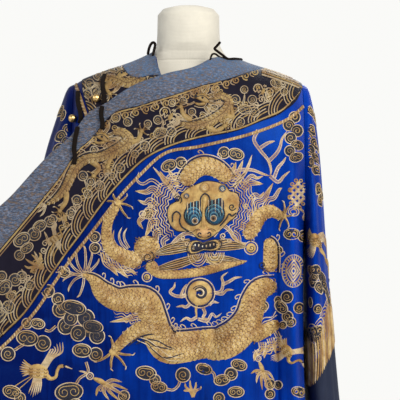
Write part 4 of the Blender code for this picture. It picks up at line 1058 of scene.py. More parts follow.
def fret_medallion(pen, wide=12.0, tall=17.0):
    """An oval medallion of plain fretwork: two rings, a row of short bars between them, and
    nested diamonds inside."""
    pen.line(ellipse(0, 0, wide, tall, steps=36), 1.5, shade=PALE, steps=1)
    pen.line(ellipse(0, 0, wide - 4.0, tall - 4.6, steps=36), 1.2, shade=GOLD, steps=1)
    for n in range(28):
        angle = n * math.pi / 14
        ray = np.array((math.cos(angle), math.sin(angle)))
        pen.line((ray * (wide - 3.8, tall - 4.4), ray * (wide - 1.0, tall - 1.2)), 1.0, 0.0012, (PALE, GOLD)[n % 2],
                 steps=1)
    share = np.linspace(0, 4, 33)
    for size in (1.0, 0.66, 0.32):
        corners = np.array(((0, -1), (1, 0), (0, 1), (-1, 0), (0, -1))) * (wide - 4.6, tall - 5.4) * size
        diamond = np.stack([np.interp(share, range(5), corners[:, k]) for k in range(2)], 1)
        pen.line(diamond, 1.5, 0.0012, PALE, steps=1)


def wave_hills(pen, foot, width=46.0, height=15.0, rings=4, foam=True):
    """Overlapping hills of striped water along a line, on its left side, with curls of foam
    between their tops. The stripes lie about three units apart, the rest of a hill is bare."""
    foot = np.asarray(foot, float)
    run = run_of(foot)
    ahead = np.gradient(foot, axis=0)
    count = max(1, round(run[-1] / (width * 0.46)))
    hills = []
    for n in range(count):
        middle, forward = read_at((n + 0.5) / count * run[-1], run, foot, ahead)
        hills.append((middle, math.atan2(forward[1], forward[0]), 1.0 + 0.15 * math.sin(n * 2.3)))
    for n, (middle, turn, tall) in enumerate(hills):
        covers = [(*other[0], width / 2, height * other[2], other[1]) for other in hills[n + 1:n + 3]]
        for ring in range(rings):
            step = 2.9 * ring
            arc_points = ellipse(*middle, width / 2 - step, height * tall - step, 0, -math.pi, 15, turn)
            for part in uncovered(arc_points, covers):
                pen.line(part, 1.25, shade=(PALE, GOLD)[ring % 2], steps=1)
        if foam:
            crest = pen.at(middle, turn)
            top = -height * tall
            for x, y, radius, way in ((-width * 0.20, top - 1.5, 3.4, 1), (-width * 0.06, top - 4.2, 3.8, -1),
                                      (width * 0.08, top - 2.0, 2.8, 1)):
                crest.line(spiral(x, y, radius, 0.7, 1.4, 1.4 * way, 13), 1.1, shade=(GOLD, PALE)[n % 2], steps=1)
            lock(crest, ((0, top - 2), (width * 0.08, top - 7), (width * 0.14, top - 12)), 3, 2)


def side_dragon(pen):
    """A small running dragon about its middle, about seventy units long, head to the right."""
    scaly(pen, ((-40, 14), (-30, 6), (-18, 6), (-8, 13), (4, 15), (13, 7), (18, -4), (26, -10)),
          (0.8, 2.6, 4.0, 4.6, 4.6, 4.4, 4.0, 3.0), 3.2, spine=1, height=0.0020)
    for root, knee, foot, turn in (((-20, 8), (-27, 16), (-22, 23), 1.2), ((-4, 14), (-8, 24), (0, 28), 0.9),
                                   ((14, 6), (24, 10), (27, 18), 1.0), ((18, -2), (10, -9), (4, -14), -2.2)):
        pen.band((root, knee, foot), (3.2, 2.6, 2.0), 0.0018, GOLD, rows=4)
        claw(pen, foot, [np.array(foot) + 6.5 * np.array((math.cos(turn + toe), math.sin(turn + toe)))
                         for toe in (-1.5, -0.7, 0.1, 0.9)], 4.6)
    hair(pen, ((24, -14), (18, -10), (20, -4)), ((14, -30), (2, -20), (6, -8)), 8, 1.3, 1.2)
    hair(pen, ((26, -16), (34, -17)), ((24, -32), (38, -30)), 4, 1.2, 1.0)
    pen.blob(((22, -14), (30, -17), (38, -13), (43, -8), (34, -3), (25, -4)), 0.0026, GOLD)
    pen.line(((31, -4), (37, -5), (43, -5)), 1.1, 0.0028, INK)
    pen.blob(ellipse(31, -11, 2.0, 2.0, steps=8)[:-1], 0.0040, IVORY, steps=2)
    pen.blob(ellipse(31, -11, 1.1, 1.1, steps=6)[:-1], 0.0048, INK, steps=2)
    tongue(pen, ((40, -6), (48, -12), (46, -20)), 2.0)
    tongue(pen, ((38, -2), (46, 2), (52, -4)), 2.0)
    fins(pen, ((-40, 14), (-38, 16)), ((-54, 8), (-50, 22)), 6)
    fins(pen, ((-12, 18), (-4, 20)), ((-24, 24), (-16, 28)), 4)


def rope(pen, points, radius=1.05, pitch=3.2):
    """Couched rope: two plies that wind round each other along a line, over a padded cord."""
    path = eased(points, 12)
    lengths = run_of(path)
    at = np.linspace(0, lengths[-1], int(lengths[-1] * 1.6))
    line = np.stack([np.interp(at, lengths, path[:, n]) for n in range(2)], 1)
    side = beside(line)
    pen.line(line, radius * 2.9, 0.0020, TAN, steps=1)
    for turn in range(int(lengths[-1] / pitch)):
        middle, out = read_at((turn + 0.5) * pitch, at, line, side)
        ahead = np.array((-out[1], out[0]))
        pen.line((middle - out * radius * 1.2 - ahead * 0.7, middle + out * radius * 1.2 + ahead * 0.7), 1.0, 0.0028,
                 (PALE, GOLD)[turn % 2], steps=1)


def beside(path):
    """Unit sides of a flat line: to its left when y points down."""
    forward = np.gradient(path, axis=0)
    forward /= np.maximum(np.linalg.norm(forward, axis=1, keepdims=True), 1e-9)
    return np.stack([forward[:, 1], -forward[:, 0]], 1)


def run_of(path):
    """Length along a line at each of its points."""
    return np.concatenate([[0], np.cumsum(np.linalg.norm(np.diff(path, axis=0), axis=1))])


def read_at(at, run, *tables):
    """Values of tables of points at a length along their line."""
    return [np.array([np.interp(at, run, table[:, n]) for n in range(2)]) for table in tables]


def lock(pen, points, width=6.0, strands=4, shade=PALE, thick=0.90):
    """A lock of hair or a flame: strands side by side along a line that meet at its tip."""
    path = eased(points, 5)
    side = beside(path)
    share = np.linspace(0, 1, len(path))[:, None]
    for n in range(strands):
        offset = ((n + 0.5) / strands - 0.5) * width * (1 - share ** 2.5)
        pen.line(path + side * offset, thick, 0.0010, shade if n in (0, strands - 1) else GOLD,
                 (1.0, 0.3), steps=1)


def nest(pen, points, count, gap=2.3, wave=1.0, length=8.0, width=0.95, cut=0.05, first_gap=-1.0):
    """Nested wavy lines to the left of a line: each lies a gap further out and is a little
    shorter, and all sway together."""
    path = eased(points, 10)
    side = beside(path)
    run = run_of(path)
    for n in range(count):
        sway = np.sin(run / length * 2 * math.pi + n * 0.25) * wave
        line = path + side * ((n + first_gap) * gap + sway)[:, None]
        first, last = int(cut * n * len(line)), int((1 - cut * n) * len(line))
        pen.line(line[first:last], width, 0.0010, (PALE, GOLD)[n % 2], (0.5, 0.3), steps=1)


def leaf(pen, root, tip, width=9.0, bow=2.0, strands=5):
    """A pointed leaf between a root and a tip: a thin padding under pale and dark strands."""
    root, tip = np.asarray(root, float), np.asarray(tip, float)
    ahead = (tip - root) / np.linalg.norm(tip - root)
    side = np.array((ahead[1], -ahead[0]))
    near, far = root * 0.55 + tip * 0.45, root * 0.2 + tip * 0.8
    pen.blob((root + side * width * 0.3, near + side * (bow + width / 2), far + side * (bow * 0.6 + width * 0.28),
              tip, far + side * (bow * 0.6 - width * 0.28), near + side * (bow - width / 2),
              root - side * width * 0.3), 0.0010, TAN, steps=3)
    for n in range(strands * 2 - 1):
        s = (n + 0.5) / (strands * 2 - 1) * 2 - 1
        pen.line((root + side * s * width * 0.3, near + side * (bow + s * width / 2),
                  far + side * (bow * 0.6 + s * width * 0.28), tip), 0.8, 0.0020,
                 INK if n % 2 else (PALE, GOLD)[n // 2 % 2], (1, 0.3), steps=5)


def knot(pen, x, y, radius, way=1, turn=0.0):
    """A padded round curl with a dark spiral and a pale rim."""
    pen.blob(ellipse(x, y, radius, radius, steps=10)[:-1], 0.0020, GOLD)
    curled(pen, x, y, radius * 0.62, way, turn, height=0.0028)
    pen.line(ellipse(x, y, radius + 1.6, radius + 1.6, steps=20), 1.0, 0.0010, PALE, steps=1)


def dragon_hair(pen):
    """Mane round the large dragon's face: nested wavy lines on both sides, locks that break out
    of them, and two horns. The drawing is in the picture's own units."""
    nest(pen, ((174, 238), (168, 231), (164, 222), (163, 212), (165, 203), (169, 196), (176, 190),
               (184, 187), (192, 183)), 7, 2.75, 1.1, 8, cut=0.03)
    nest(pen, ((217, 182), (225, 184), (234, 188), (239, 195), (241, 204), (240, 213), (237, 221),
               (232, 229), (227, 236)), 7, 2.75, 1.1, 8, cut=0.03)
    nest(pen, ((188, 184), (184, 178), (177, 176), (170, 178), (166, 184)), 3, 2.75, 0.5, 8, cut=0.04)
    nest(pen, ((242, 186), (240, 179), (233, 175), (225, 177), (220, 182)), 3, 2.75, 0.5, 8, cut=0.04)
    for points, width, strands in (
            (((179, 184), (169, 182), (163, 178), (160, 171)), 9, 4),
            (((184, 180), (176, 178), (171, 174), (168, 168)), 6.5, 3),
            (((160, 196), (153, 189), (146, 192), (135, 191)), 9, 4),
            (((162, 187), (152, 180), (143, 184), (137, 180), (139, 172)), 5, 2),
            (((157, 206), (150, 200), (145, 203), (138, 200)), 7.5, 3),
            (((156, 214), (149, 210), (144, 216), (139, 222), (143, 229)), 8.5, 4),
            (((158, 222), (152, 222), (149, 229), (145, 237)), 8.5, 4),
            (((161, 231), (156, 233), (156, 240), (151, 247)), 8.5, 4),
            (((168, 237), (163, 241), (164, 247), (158, 252)), 6.5, 3),
            (((222, 178), (226, 172), (233, 170), (236, 162)), 8.5, 4),
            (((230, 180), (237, 175), (240, 168), (243, 160)), 6.5, 3),
            (((243, 190), (249, 183), (255, 183), (263, 184)), 8.5, 4),
            (((244, 184), (251, 176), (257, 178), (263, 176)), 5, 3),
            (((250, 200), (255, 195), (260, 197), (264, 192)), 6.5, 3),
            (((247, 213), (252, 214), (252, 221), (258, 222)), 8.5, 4),
            (((240, 225), (246, 228), (246, 235), (252, 239)), 8.5, 4),
            (((233, 232), (238, 236), (240, 243), (246, 245)), 6.5, 3),
            (((256, 214), (256, 203), (263, 200), (268, 192), (273, 183)), 9, 4),
            (((264, 208), (268, 200), (274, 198), (279, 190), (282, 188)), 6.5, 3)):
        lock(pen, points, width, strands, thick=1.0)
    for x, y, radius, way in ((143, 214, 4.4, 1), (176, 196, 3.6, -1), (150, 206, 2.6, -1), (246, 206, 2.8, 1)):
        pen.line(spiral(x, y, radius, 0.7, 1.0, 1.5 * way, 18), 1.2, 0.0016, PALE, steps=1)
    for root, bend, tip in (((177, 196), (165, 181), (153, 167)), ((234, 187), (246, 171), (252, 155))):
        lock(pen, (root, bend, tip), 5.4, 2, thick=1.2)
        pen.line((root, bend, tip), 1.4, 0.0008, ROSE, (1, 0.2))
        root, bend = np.array(root, float), np.array(bend, float)
        for n in range(6):
            middle = root + (bend - root) * (n + 0.5) / 6
            pen.line((middle + (-2.2, 2.0), middle + (2.2, -2.0)), 0.8, 0.0016, (INK, PALE)[n % 2], steps=1)


def small_head(pen):
    """A running dragon's head about its eye, facing right: mane in curls and strands, horns,
    brow and open jaws."""
    for root, middle, tip in (((-4, -3), (-10, -7), (-14, -13)), ((-5, 0), (-13, -2), (-19, -6)),
                              ((-5, 3), (-13, 4), (-20, 2)), ((-4, 6), (-11, 10), (-18, 11)),
                              ((-2, 8), (-6, 13), (-12, 17)), ((0, -5), (-3, -11), (-3, -17)),
                              ((3, -5), (5, -11), (9, -16))):
        lock(pen, (root, middle, tip), 4.4, 3)
    for x, y, way in ((-9, -11, 1), (-14, 1, -1), (-8, 8, 1), (1, -12, -1), (8, -9, 1), (-16, -9, -1)):
        pen.line(spiral(x, y, 3.0, 0.6, x, 1.4 * way, 14), 1.1, shade=GOLD, steps=1)
    pen.blob(((-5, -2), (0, -5), (5, -4.5), (9, -3), (11, -0.5), (7, 1), (3, 2.5), (-2, 4), (-5, 3)), 0.0024, GOLD)
    pen.band(((-2, 4.5), (4, 6), (9, 5)), (1.8, 1.5, 0.9), 0.0022, GOLD, rows=4)
    pen.line(((-5, 1), (0, -2.2), (4, -2), (8, 0)), 0.9, 0.0032, INK)
    pen.blob(ellipse(1.5, -0.4, 1.2, 1.2, steps=6)[:-1], 0.0042, INK, steps=2)
    curled(pen, 8.5, -1.6, 1.4, 1, 0.6)
    lock(pen, ((9, -2), (14, -5), (14, -10)), 2.2, 2)
    lock(pen, ((9, 4), (14, 7), (19, 5)), 2.2, 2)
    pen.line(((0, 1), (-3, 3), (-1, 8), (4, 9), (9, 8)), 0.9, shade=PALE)


def running_dragon(pen, spine, halves, head, turn, flip, legs):
    """A dragon of the border in the picture's own units: its body along a spine, a head at the
    spine's far end, and legs from root to knee to foot."""
    for n, (root, knee, foot) in enumerate(legs):
        pen.band((root, knee, foot), (3.6, 2.6, 1.8), 0.0022, GOLD, rows=4)
        aim = math.atan2(foot[1] - knee[1], foot[0] - knee[0])
        claw(pen, foot, [np.array(foot) + 7.0 * np.array((math.cos(aim + toe), math.sin(aim + toe)))
                         for toe in (-1.7, -0.8, 0.0, 0.8, 1.7)], 4.6)
        lock(pen, (knee, np.array(knee) + (-3, 3), np.array(knee) + (-8, 5)), 4, 3)
    path, side, half = scaly(pen, spine, halves, 3.2, spine=1, height=0.0024)
    pen.line(path, 1.1, 0.0030, BROWN, (0.2, 0.5), steps=1)
    for spread in (-0.9, -0.3, 0.3, 0.9):
        tip = path[0] - (path[4] - path[0]) / np.linalg.norm(path[4] - path[0]) * 11
        tip = tip + side[0] * spread * 8
        lock(pen, (path[0], (path[0] + tip) / 2 + side[0] * spread * 2, tip), 2.6, 2)
    small_head(pen.at(head, turn, 1.0, flip))


def bat(pen):
    """A bat for luck: a small body with a curl on each scalloped wing."""
    pen.blob(((0, -4), (2.2, 0), (1.4, 5), (-1.4, 5), (-2.2, 0)), 0.0022, GOLD)
    for way in (-1, 1):
        pen.line(((way * 1.5, -2), (way * 6, -6), (way * 12, -4), (way * 13, 2), (way * 9, 5), (way * 8, 1),
                  (way * 5, 5), (way * 4, 1), (way * 1.5, 3)), 1.2, shade=PALE)
        pen.line(spiral(way * 8.5, -1.2, 3.0, 0.6, 0.5, 1.3 * way, 16), 1.2, shade=GOLD, steps=1)
        pen.line(((way * 0.8, 4), (way * 3, 8), (way * 1.2, 11), (way * 4, 13)), 1.0, shade=PALE, taper=(1, 0.3))
    pen.line(((-2, -5), (-1, -8), (0, -5), (1, -8), (2, -5)), 1.0, shade=PALE, steps=2)


BORDER_BATS = ((263, 91, 0.75, 0.35), (171, 116, 0.9, 0.5), (154, 98, 0.6, -0.3))

UNDER_CUT_X = (-0.2200, -0.0700, -0.0620, -0.0540, -0.0460, -0.0300, 0.0000, 0.1500)

UNDER_CUT_Z = (1.6000, 1.5400, 1.5050, 1.4750, 1.4560, 1.4500, 1.4450, 1.4400)

MIST = (0.130, 0.330, 0.420)

def tied_ornament(pen):
    """A slender tied ornament: a ring and a pointed tip, and pale leaves that trail from a tie."""
    pen.line(ellipse(-13, -9, 3.4, 3.4, steps=16), 1.2, shade=PALE, steps=1)
    pen.line(ellipse(-13, -9, 1.5, 1.5, steps=10), 0.9, shade=GOLD, steps=1)
    tongue(pen, ((-16, -11), (-19, -13), (-24, -14)), 2.4)
    pen.band(((-10, -7), (-3, -4), (3, -1)), (1.2, 2.8, 1.8), 0.0020, GOLD, rows=4)
    for n, (bend, tip) in enumerate((((9, -5), (19, -3)), ((12, 0), (25, 5)), ((12, 5), (24, 12)),
                                     ((7, 7), (17, 16)), ((1, 7), (6, 15)), ((-5, 4), (-7, 11)))):
        lock(pen, ((2, -1), bend, tip), 4.2, 3, (PALE, GOLD)[n % 2])
    for x, y, way in ((8, 1, 1), (-2, 5, -1)):
        pen.line(spiral(x, y, 2.4, 0.6, 0.5, 1.3 * way, 14), 1.0, shade=GOLD, steps=1)


def flame_tuft(pen):
    """A tuft of pinkish flames that rise from one root."""
    for tip in ((-8, -8), (-3, -11), (3, -9), (8, -5), (-9, -1)):
        tongue(pen, ((0, 6), (tip[0] * 0.35, 0), (tip[0] * 0.9, tip[1] * 0.5), tip), 3.4, GOLD)


FRONT_ORNAMENTS = ((103, 385, 1.0, 0.0), (261, 371, 0.8, 0.75), (60, 455, 1.0, 0.5), (230, 520, 1.0, 0.2))

FRONT_TUFTS = ((193, 391, 1.0, 0.0), (150, 440, 1.0, 0.3), (100, 520, 1.1, -0.2))

CLOUD_NECKS = (((166, 389), (173, 390), (178, 386), (180, 381)), ((211, 371), (214, 374), (215, 379)),
               ((76, 384), (80, 378), (88, 372), (86, 362)), ((58, 305), (60, 309), (64, 311)),
               ((45, 330), (50, 331), (56, 326)), ((15, 350), (21, 346), (25, 344)))

BORDER_CRANES = ((55, 238, 0.42, -0.7, 1),)

BORDER_TUFTS = ((38, 264, 1.2, -0.9), (64, 218, 0.7, -0.6), (107, 170, 0.7, 0.8), (225, 124, 0.6, 0.4))

UNDER_ROPE = ((-0.1985, 1.4420), (-0.1900, 1.4190), (-0.1810, 1.3920), (-0.1650, 1.3500))

# Motifs on the front, placed by the picture: drawing, x, y, scale, turn and flip
FRONT_CLOUDS = (
    (CLOUD_CURL, 48, 291, 1.05, 0.3, 1), (CLOUD_CURL, 58, 299, 1.0, 0.8, -1), (CLOUD_BANK, 77, 316, 1.0, 0.10, 1),
    (CLOUD_PAIR, 87, 351, 1.0, 0.1, 1), (CLOUD_PAIR, 34, 323, 0.75, 0.2, -1), (CLOUD_PAIR, 33, 339, 1.15, 0.15, 1),
    (CLOUD_CURL, 8, 354, 1.15, 0.0, 1), (CLOUD_HEAD, 69, 392, 1.65, -0.1, 1), (CLOUD_CURL, 95, 237, 0.9, 0.5, 1),
    (CLOUD_CURL, 95, 248, 0.9, 2.0, -1), (CLOUD_HEAD, 146, 373, 1.2, 0.15, 1), (CLOUD_CURL, 155, 380, 0.9, 0.0, -1),
    (CLOUD_HEAD, 159, 387, 0.95, 0.2, 1), (CLOUD_CURL, 183, 375, 1.2, 0.5, 1), (CLOUD_HEAD, 204, 369, 0.95, 0.3, 1),
    (CLOUD_CURL, 231, 374, 1.05, 0.0, 1), (CLOUD_HEAD, 222, 380, 0.95, -0.2, 1), (CLOUD_HEAD, 239, 365, 0.95, 0.3, 1),
    (CLOUD_HEAD, 236, 392, 0.95, 0.0, 1), (CLOUD_CURL, 270, 384, 0.85, 0.0, 1), (CLOUD_CURL, 270, 394, 0.8, 0.0, -1),
    (CLOUD_CURL, 264, 306, 0.75, 0.0, 1), (CLOUD_CURL, 124, 396, 0.9, 0.4, -1), (CLOUD_HEAD, 12, 392, 1.1, 0.3, 1),
    (CLOUD_CURL, 20, 398, 0.9, 0.0, -1), (CLOUD_CURL, 219, 398, 0.9, 1.0, 1),
    (CLOUD_PAIR, 173, 164, 0.85, -0.4, 1), (CLOUD_PAIR, 232, 153, 0.85, 0.3, -1), (CLOUD_CURL, 148, 214, 0.8, 0.0, 1),
    (CLOUD_PAIR, 58, 268, 0.8, 0.3, 1),
    (CLOUD_CHAIN, 96, 425, 1.1, 0.2, -1), (CLOUD_BANK, 200, 430, 1.0, 0.0, 1),
    (CLOUD_BANK, 30, 430, 0.9, 0.0, 1), (CLOUD_PAIR, 254, 420, 1.0, 0.0, 1),
    (CLOUD_BANK, 120, 470, 1.0, 0.0, -1), (CLOUD_CHAIN, 190, 490, 1.1, 0.1, 1),
    (CLOUD_BANK, 50, 500, 1.0, 0.0, 1), (CLOUD_BANK, 255, 480, 0.9, 0.0, 1),
    (CLOUD_PAIR, 10, 470, 1.1, 0.0, 1), (CLOUD_CHAIN, -5, 530, 1.1, 0.0, 1),
    (CLOUD_PAIR, 165, 545, 1.2, 0.0, -1), (CLOUD_BANK, 230, 560, 1.0, 0.0, -1),
    (CLOUD_CHAIN, 90, 570, 1.1, 0.0, 1), (CLOUD_BANK, 20, 590, 1.0, 0.0, -1),
)
RIDGE_CLOUDS = (
    (CLOUD_TALL, 293, 138, 0.80, 0.0, 1), (CLOUD_PAIR, 296, 234, 0.85, 0.0, 1),
    (CLOUD_CURL, 287, 297, 1.0, 0.0, 1), (CLOUD_CURL, 299, 308, 0.9, 0.0, -1), (CLOUD_PAIR, 284, 310, 0.8, 0.8, 1),
    (CLOUD_CURL, 291, 322, 0.8, 0.0, -1), (CLOUD_CURL, 283, 325, 0.6, 0.0, 1), (CLOUD_HEAD, 299, 392, 0.9, 0.3, 1),
    (CLOUD_CURL, 279, 250, 0.6, 0.0, 1), (CLOUD_CURL, 278, 300, 0.6, 0.0, -1), (CLOUD_CURL, 278, 385, 0.7, 0.0, 1),
    (CLOUD_BANK, 296, 430, 0.8, 0.0, 1), (CLOUD_TALL, 300, 500, 1.0, 0.0, -1), (CLOUD_BANK, 300, 570, 0.9, 0.0, 1),
)
FRONT_CRANES = ((40, 371, 0.88, 0.05, 1), (288, 352, 0.62, 0.9, 1), (140, 610, 1.1, 0.1, 1),
                (290, 640, 0.9, 0.1, -1))
ROPE_LINE = ((0.2110, 1.4090), (0.2032, 1.3989), (0.1870, 1.3836), (0.1634, 1.3695),
             (0.1046, 1.3484), (0.0219, 1.3284),
             (-0.0381, 1.3170), (-0.0837, 1.2780), (-0.1242, 1.2340), (-0.1734, 1.1706),
             (-0.1998, 1.1372), (-0.2333, 1.0897), (-0.2632, 1.0439), (-0.3009, 1.0000),
             (-0.3301, 0.9718), (-0.3900, 0.9200))
BORDER_TONE = 0.68
BORDER_DRAGONS = (
    (((46, 205), (56, 199), (65, 189), (71, 177), (77, 166), (88, 159), (101, 157), (113, 152), (124, 146),
      (129, 139), (122, 132), (113, 133)),
     (0.8, 3.0, 4.2, 4.8, 5.0, 4.8, 4.6, 5.0, 6.0, 5.5, 4.2, 3.2), (104, 138), 0.15, -1,
     (((127, 140), (137, 141), (142, 131)), ((119, 149), (111, 158), (108, 167)),
      ((90, 160), (99, 168), (94, 176)), ((66, 190), (66, 201), (60, 211)))),
    (((180, 123), (190, 126), (203, 124), (216, 118), (226, 110), (229, 101), (221, 96), (213, 98)),
     (1.5, 3.8, 4.8, 5.2, 5.2, 4.4, 3.4, 3.0), (204, 99), 0.1, -1,
     (((192, 121), (184, 115), (181, 107)), ((222, 112), (232, 117), (231, 108)),
      ((206, 126), (216, 131), (225, 126)))),
)
BORDER_CLOUDS = (
    (CLOUD_PAIR, 43, 224, 0.78, -0.6, 1), (CLOUD_PAIR, 26, 237, 0.95, -0.6, 1), (CLOUD_PAIR, 24, 250, 0.72, -0.6, -1),
    (CLOUD_CURL, 86, 142, 0.7, 0, 1), (CLOUD_CURL, 94, 150, 0.6, 0, -1),
    (CLOUD_PAIR, 248, 110, 0.7, 0.1, 1), (CLOUD_CURL, 252, 100, 0.7, 0, -1), (CLOUD_CURL, 235, 100, 0.8, 0, 1),
    (CLOUD_PAIR, 164, 132, 0.75, -0.3, 1), (CLOUD_CURL, 83, 176, 0.8, 0, 1), (CLOUD_CURL, 100, 186, 0.8, 0, -1),
    (CLOUD_CURL, 91, 182, 0.6, 0, -1), (CLOUD_CURL, 88, 194, 0.7, 0, 1),
    (CLOUD_CURL, 77, 200, 0.8, 0, 1), (CLOUD_CURL, 71, 213, 0.7, 0, -1), (CLOUD_CURL, 120, 168, 0.8, 0, 1),
    (CLOUD_CURL, 112, 176, 0.6, 0, -1), (CLOUD_CURL, 145, 146, 0.8, 0, -1), (CLOUD_CURL, 135, 154, 0.6, 0, 1),
    (CLOUD_CURL, 128, 122, 0.7, 0, 1), (CLOUD_CURL, 116, 118, 0.7, 0, 1), (CLOUD_CURL, 148, 124, 0.6, 0, -1),
    (CLOUD_CURL, 158, 120, 0.7, 0, 1), (CLOUD_CURL, 192, 112, 0.6, 0, 1), (CLOUD_CURL, 214, 108, 0.6, 0, -1),
    (CLOUD_CURL, 240, 122, 0.7, 0, 1), (CLOUD_CURL, 172, 103, 0.6, 0, 1), (CLOUD_HEAD, 276, 84, 0.7, 0.4, 1),
    (CLOUD_CURL, 183, 101, 0.6, 0, 1), (CLOUD_CURL, 244, 90, 0.6, 0, 1), (CLOUD_CURL, 284, 92, 0.6, 0, -1),
    (CLOUD_CURL, 53, 219, 0.7, 0, 1), (CLOUD_PAIR, 8, 284, 0.9, -0.8, 1),
    (CLOUD_CURL, 22, 276, 0.8, 0, -1), (CLOUD_CURL, 30, 285, 0.8, 0, 1), (CLOUD_PAIR, 2, 312, 0.9, -0.9, 1),
    (CLOUD_CURL, 2, 276, 0.8, 0, -1), (CLOUD_CURL, 12, 296, 0.7, 0, 1),
    (CLOUD_PAIR, -18, 300, 0.9, -0.9, 1), (CLOUD_CURL, -8, 330, 0.9, 0, 1),
)
SLEEVE_CLOUDS = (
    (CLOUD_TALL, 312, 150, 0.85, 0.1, 1), (CLOUD_BANK, 318, 275, 0.70, 0.0, 1), (CLOUD_HEAD, 321, 200, 1.2, 0.1, 1),
    (CLOUD_PAIR, 320, 188, 0.9, 0.0, 1), (CLOUD_BANK, 315, 337, 0.75, 0.0, -1), (CLOUD_PAIR, 312, 113, 0.9, 0.3, 1),
    (CLOUD_CURL, 310, 302, 0.9, 0.0, 1), (CLOUD_CURL, 318, 309, 0.8, 0.0, -1),
)


def grid_faces(rows, columns, closed=False):
    """Quads of a grid of points, whose last column joins the first if closed."""
    index = np.arange(rows * columns).reshape(rows, columns)
    if closed:
        index = np.concatenate([index, index[:, :1]], 1)
    return np.stack([index[:-1, :-1], index[1:, :-1], index[1:, 1:], index[:-1, 1:]], -1).reshape(-1, 4)


def mesh_object(name, points, faces, look, texture=None):
    """A smooth mesh of quads in the scene, with a UV map of metres along its threads."""
    mesh = bpy.data.meshes.new(name)
    faces = np.asarray(faces, np.int32)
    mesh.vertices.add(len(points))
    mesh.vertices.foreach_set("co", np.asarray(points, np.float32).ravel())
    mesh.loops.add(faces.size)
    mesh.loops.foreach_set("vertex_index", faces.ravel())
    mesh.polygons.add(len(faces))
    mesh.polygons.foreach_set("loop_start", np.arange(0, faces.size, faces.shape[1], dtype=np.int32))
    mesh.update(calc_edges=True)
    mesh.polygons.foreach_set("use_smooth", np.ones(len(faces), bool))
    layer = mesh.uv_layers.new(name="thread")
    if texture is not None:
        layer.uv.foreach_set("vector", np.asarray(texture, np.float32)[faces.ravel()].ravel())
    mesh.validate()
    mesh.materials.append(look)
    item = bpy.data.objects.new(name, mesh)
    bpy.context.scene.collection.objects.link(item)
    return item


def moved(grid, distance):
    """The grid moved along its normals. Points on a seam stay in that seam's plane."""
    result = grid + grid_normals(grid) * distance
    on_seam = np.abs(grid[..., 1]) < SEAM
    result[..., 1] = np.where(on_seam, grid[..., 1], result[..., 1])
    in_body = (np.abs(grid[..., 0]) < ARMHOLE_X + 1e-6) & (grid[..., 2] > ARMPIT_Z - SEAM)
    limit = np.clip(result[..., 0], -ARMHOLE_X, ARMHOLE_X)
    result[..., 0] = np.where(in_body, limit, result[..., 0])
    return result


def grid_lengths(grid):
    """Lengths across and down at each point of a grid, in metres."""
    wide = np.linalg.norm(np.diff(grid, axis=1), axis=-1)
    tall = np.linalg.norm(np.diff(grid, axis=0), axis=-1)
    rows, columns = grid.shape[:2]
    u = np.concatenate([np.zeros((rows, 1)), np.cumsum(wide, 1)], 1)
    v = np.concatenate([np.zeros((1, columns)), np.cumsum(tall, 0)])
    return np.stack([u, v], -1)


def shell(name, outer, inner, look, closed=False):
    """A closed cloth wall between two grids, with rims along its open edges, facing outwards."""
    rows, columns = outer.shape[:2]
    count = rows * columns
    sheet = grid_faces(rows, columns, closed)
    index = np.arange(count).reshape(rows, columns)
    if closed:
        index = np.concatenate([index, index[:, :1]], 1)
    edges = [index[0, ::-1], index[-1]]
    if not closed:
        edges += [index[:, 0], index[::-1, -1]]
    rims = [np.stack([edge[1:], edge[:-1], edge[:-1] + count, edge[1:] + count], -1) for edge in edges]
    faces = np.concatenate([sheet, sheet[:, ::-1] + count, *rims])
    points = np.concatenate([outer.reshape(-1, 3), inner.reshape(-1, 3)])
    corner = outer.reshape(-1, 3)[sheet]
    facing = np.cross(corner[:, 2] - corner[:, 0], corner[:, 3] - corner[:, 1])
    outward = (outer - inner).reshape(-1, 3)[sheet[:, 0]]
    if (facing * outward).sum() < 0:
        faces = faces[:, ::-1]
    texture = np.tile(grid_lengths(outer).reshape(-1, 2), (2, 1))
    return mesh_object(name, points, faces, look, texture)


def grid_area(grid):
    """Area of a grid of points."""
    one = np.cross(grid[1:, :-1] - grid[:-1, :-1], grid[:-1, 1:] - grid[:-1, :-1])
    two = np.cross(grid[1:, :-1] - grid[1:, 1:], grid[:-1, 1:] - grid[1:, 1:])
    return float((np.linalg.norm(one, axis=-1) + np.linalg.norm(two, axis=-1)).sum() / 2)


def finished(item, node, middle):
    """Makes a cloth piece ride on the body and hides its node. It also works out the piece's flat
    size, taking a band that slants as cut narrower than it stands: at most twice its mean width;
    the size is not used."""
    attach(item, "root")
    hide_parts(node)
    lengths = grid_lengths(middle)
    width, length = float(lengths[..., 0].max()), float(lengths[..., 1].max())
    area = min(grid_area(middle), width * length)
    length = min(length, 2 * area / width)
    return item


class Nodes:
    """Short way to write a material's nodes."""

    def __init__(self, tree):
        self.tree = tree

    def add(self, kind, settings=(), **inputs):
        """A node with its settings and with its inputs set or linked, by name."""
        node = self.tree.nodes.new(kind)
        for key, value in dict(settings).items():
            setattr(node, key, value)
        for key, value in inputs.items():
            socket = node.inputs[int(key[1:]) if key[1:].isdigit() else key.replace("_", " ")]
            if isinstance(value, bpy.types.NodeSocket):
                self.tree.links.new(value, socket)
            else:
                socket.default_value = value
        return node

    def math(self, operation, first, second=0.0):
        """A Math node's result."""
        return self.add("ShaderNodeMath", {"operation": operation}, i0=first, i1=second).outputs[0]

    def mix(self, share, first, second):
        """A mix of two colours."""
        made = self.add("ShaderNodeMix", {"data_type": "RGBA"}, i0=share, i6=first, i7=second)
        return made.outputs[2]

    def ramp(self, share, *stops):
        """A colour ramp over stops of (place, colour)."""
        node = self.add("ShaderNodeValToRGB", {}, Fac=share)
        elements = node.color_ramp.elements
        while len(elements) < len(stops):
            elements.new(0.5)
        for element, (place, colour) in zip(elements, stops):
            element.position = place
            element.color = (*colour, 1.0) if len(colour) == 3 else colour
        return node.outputs[0]


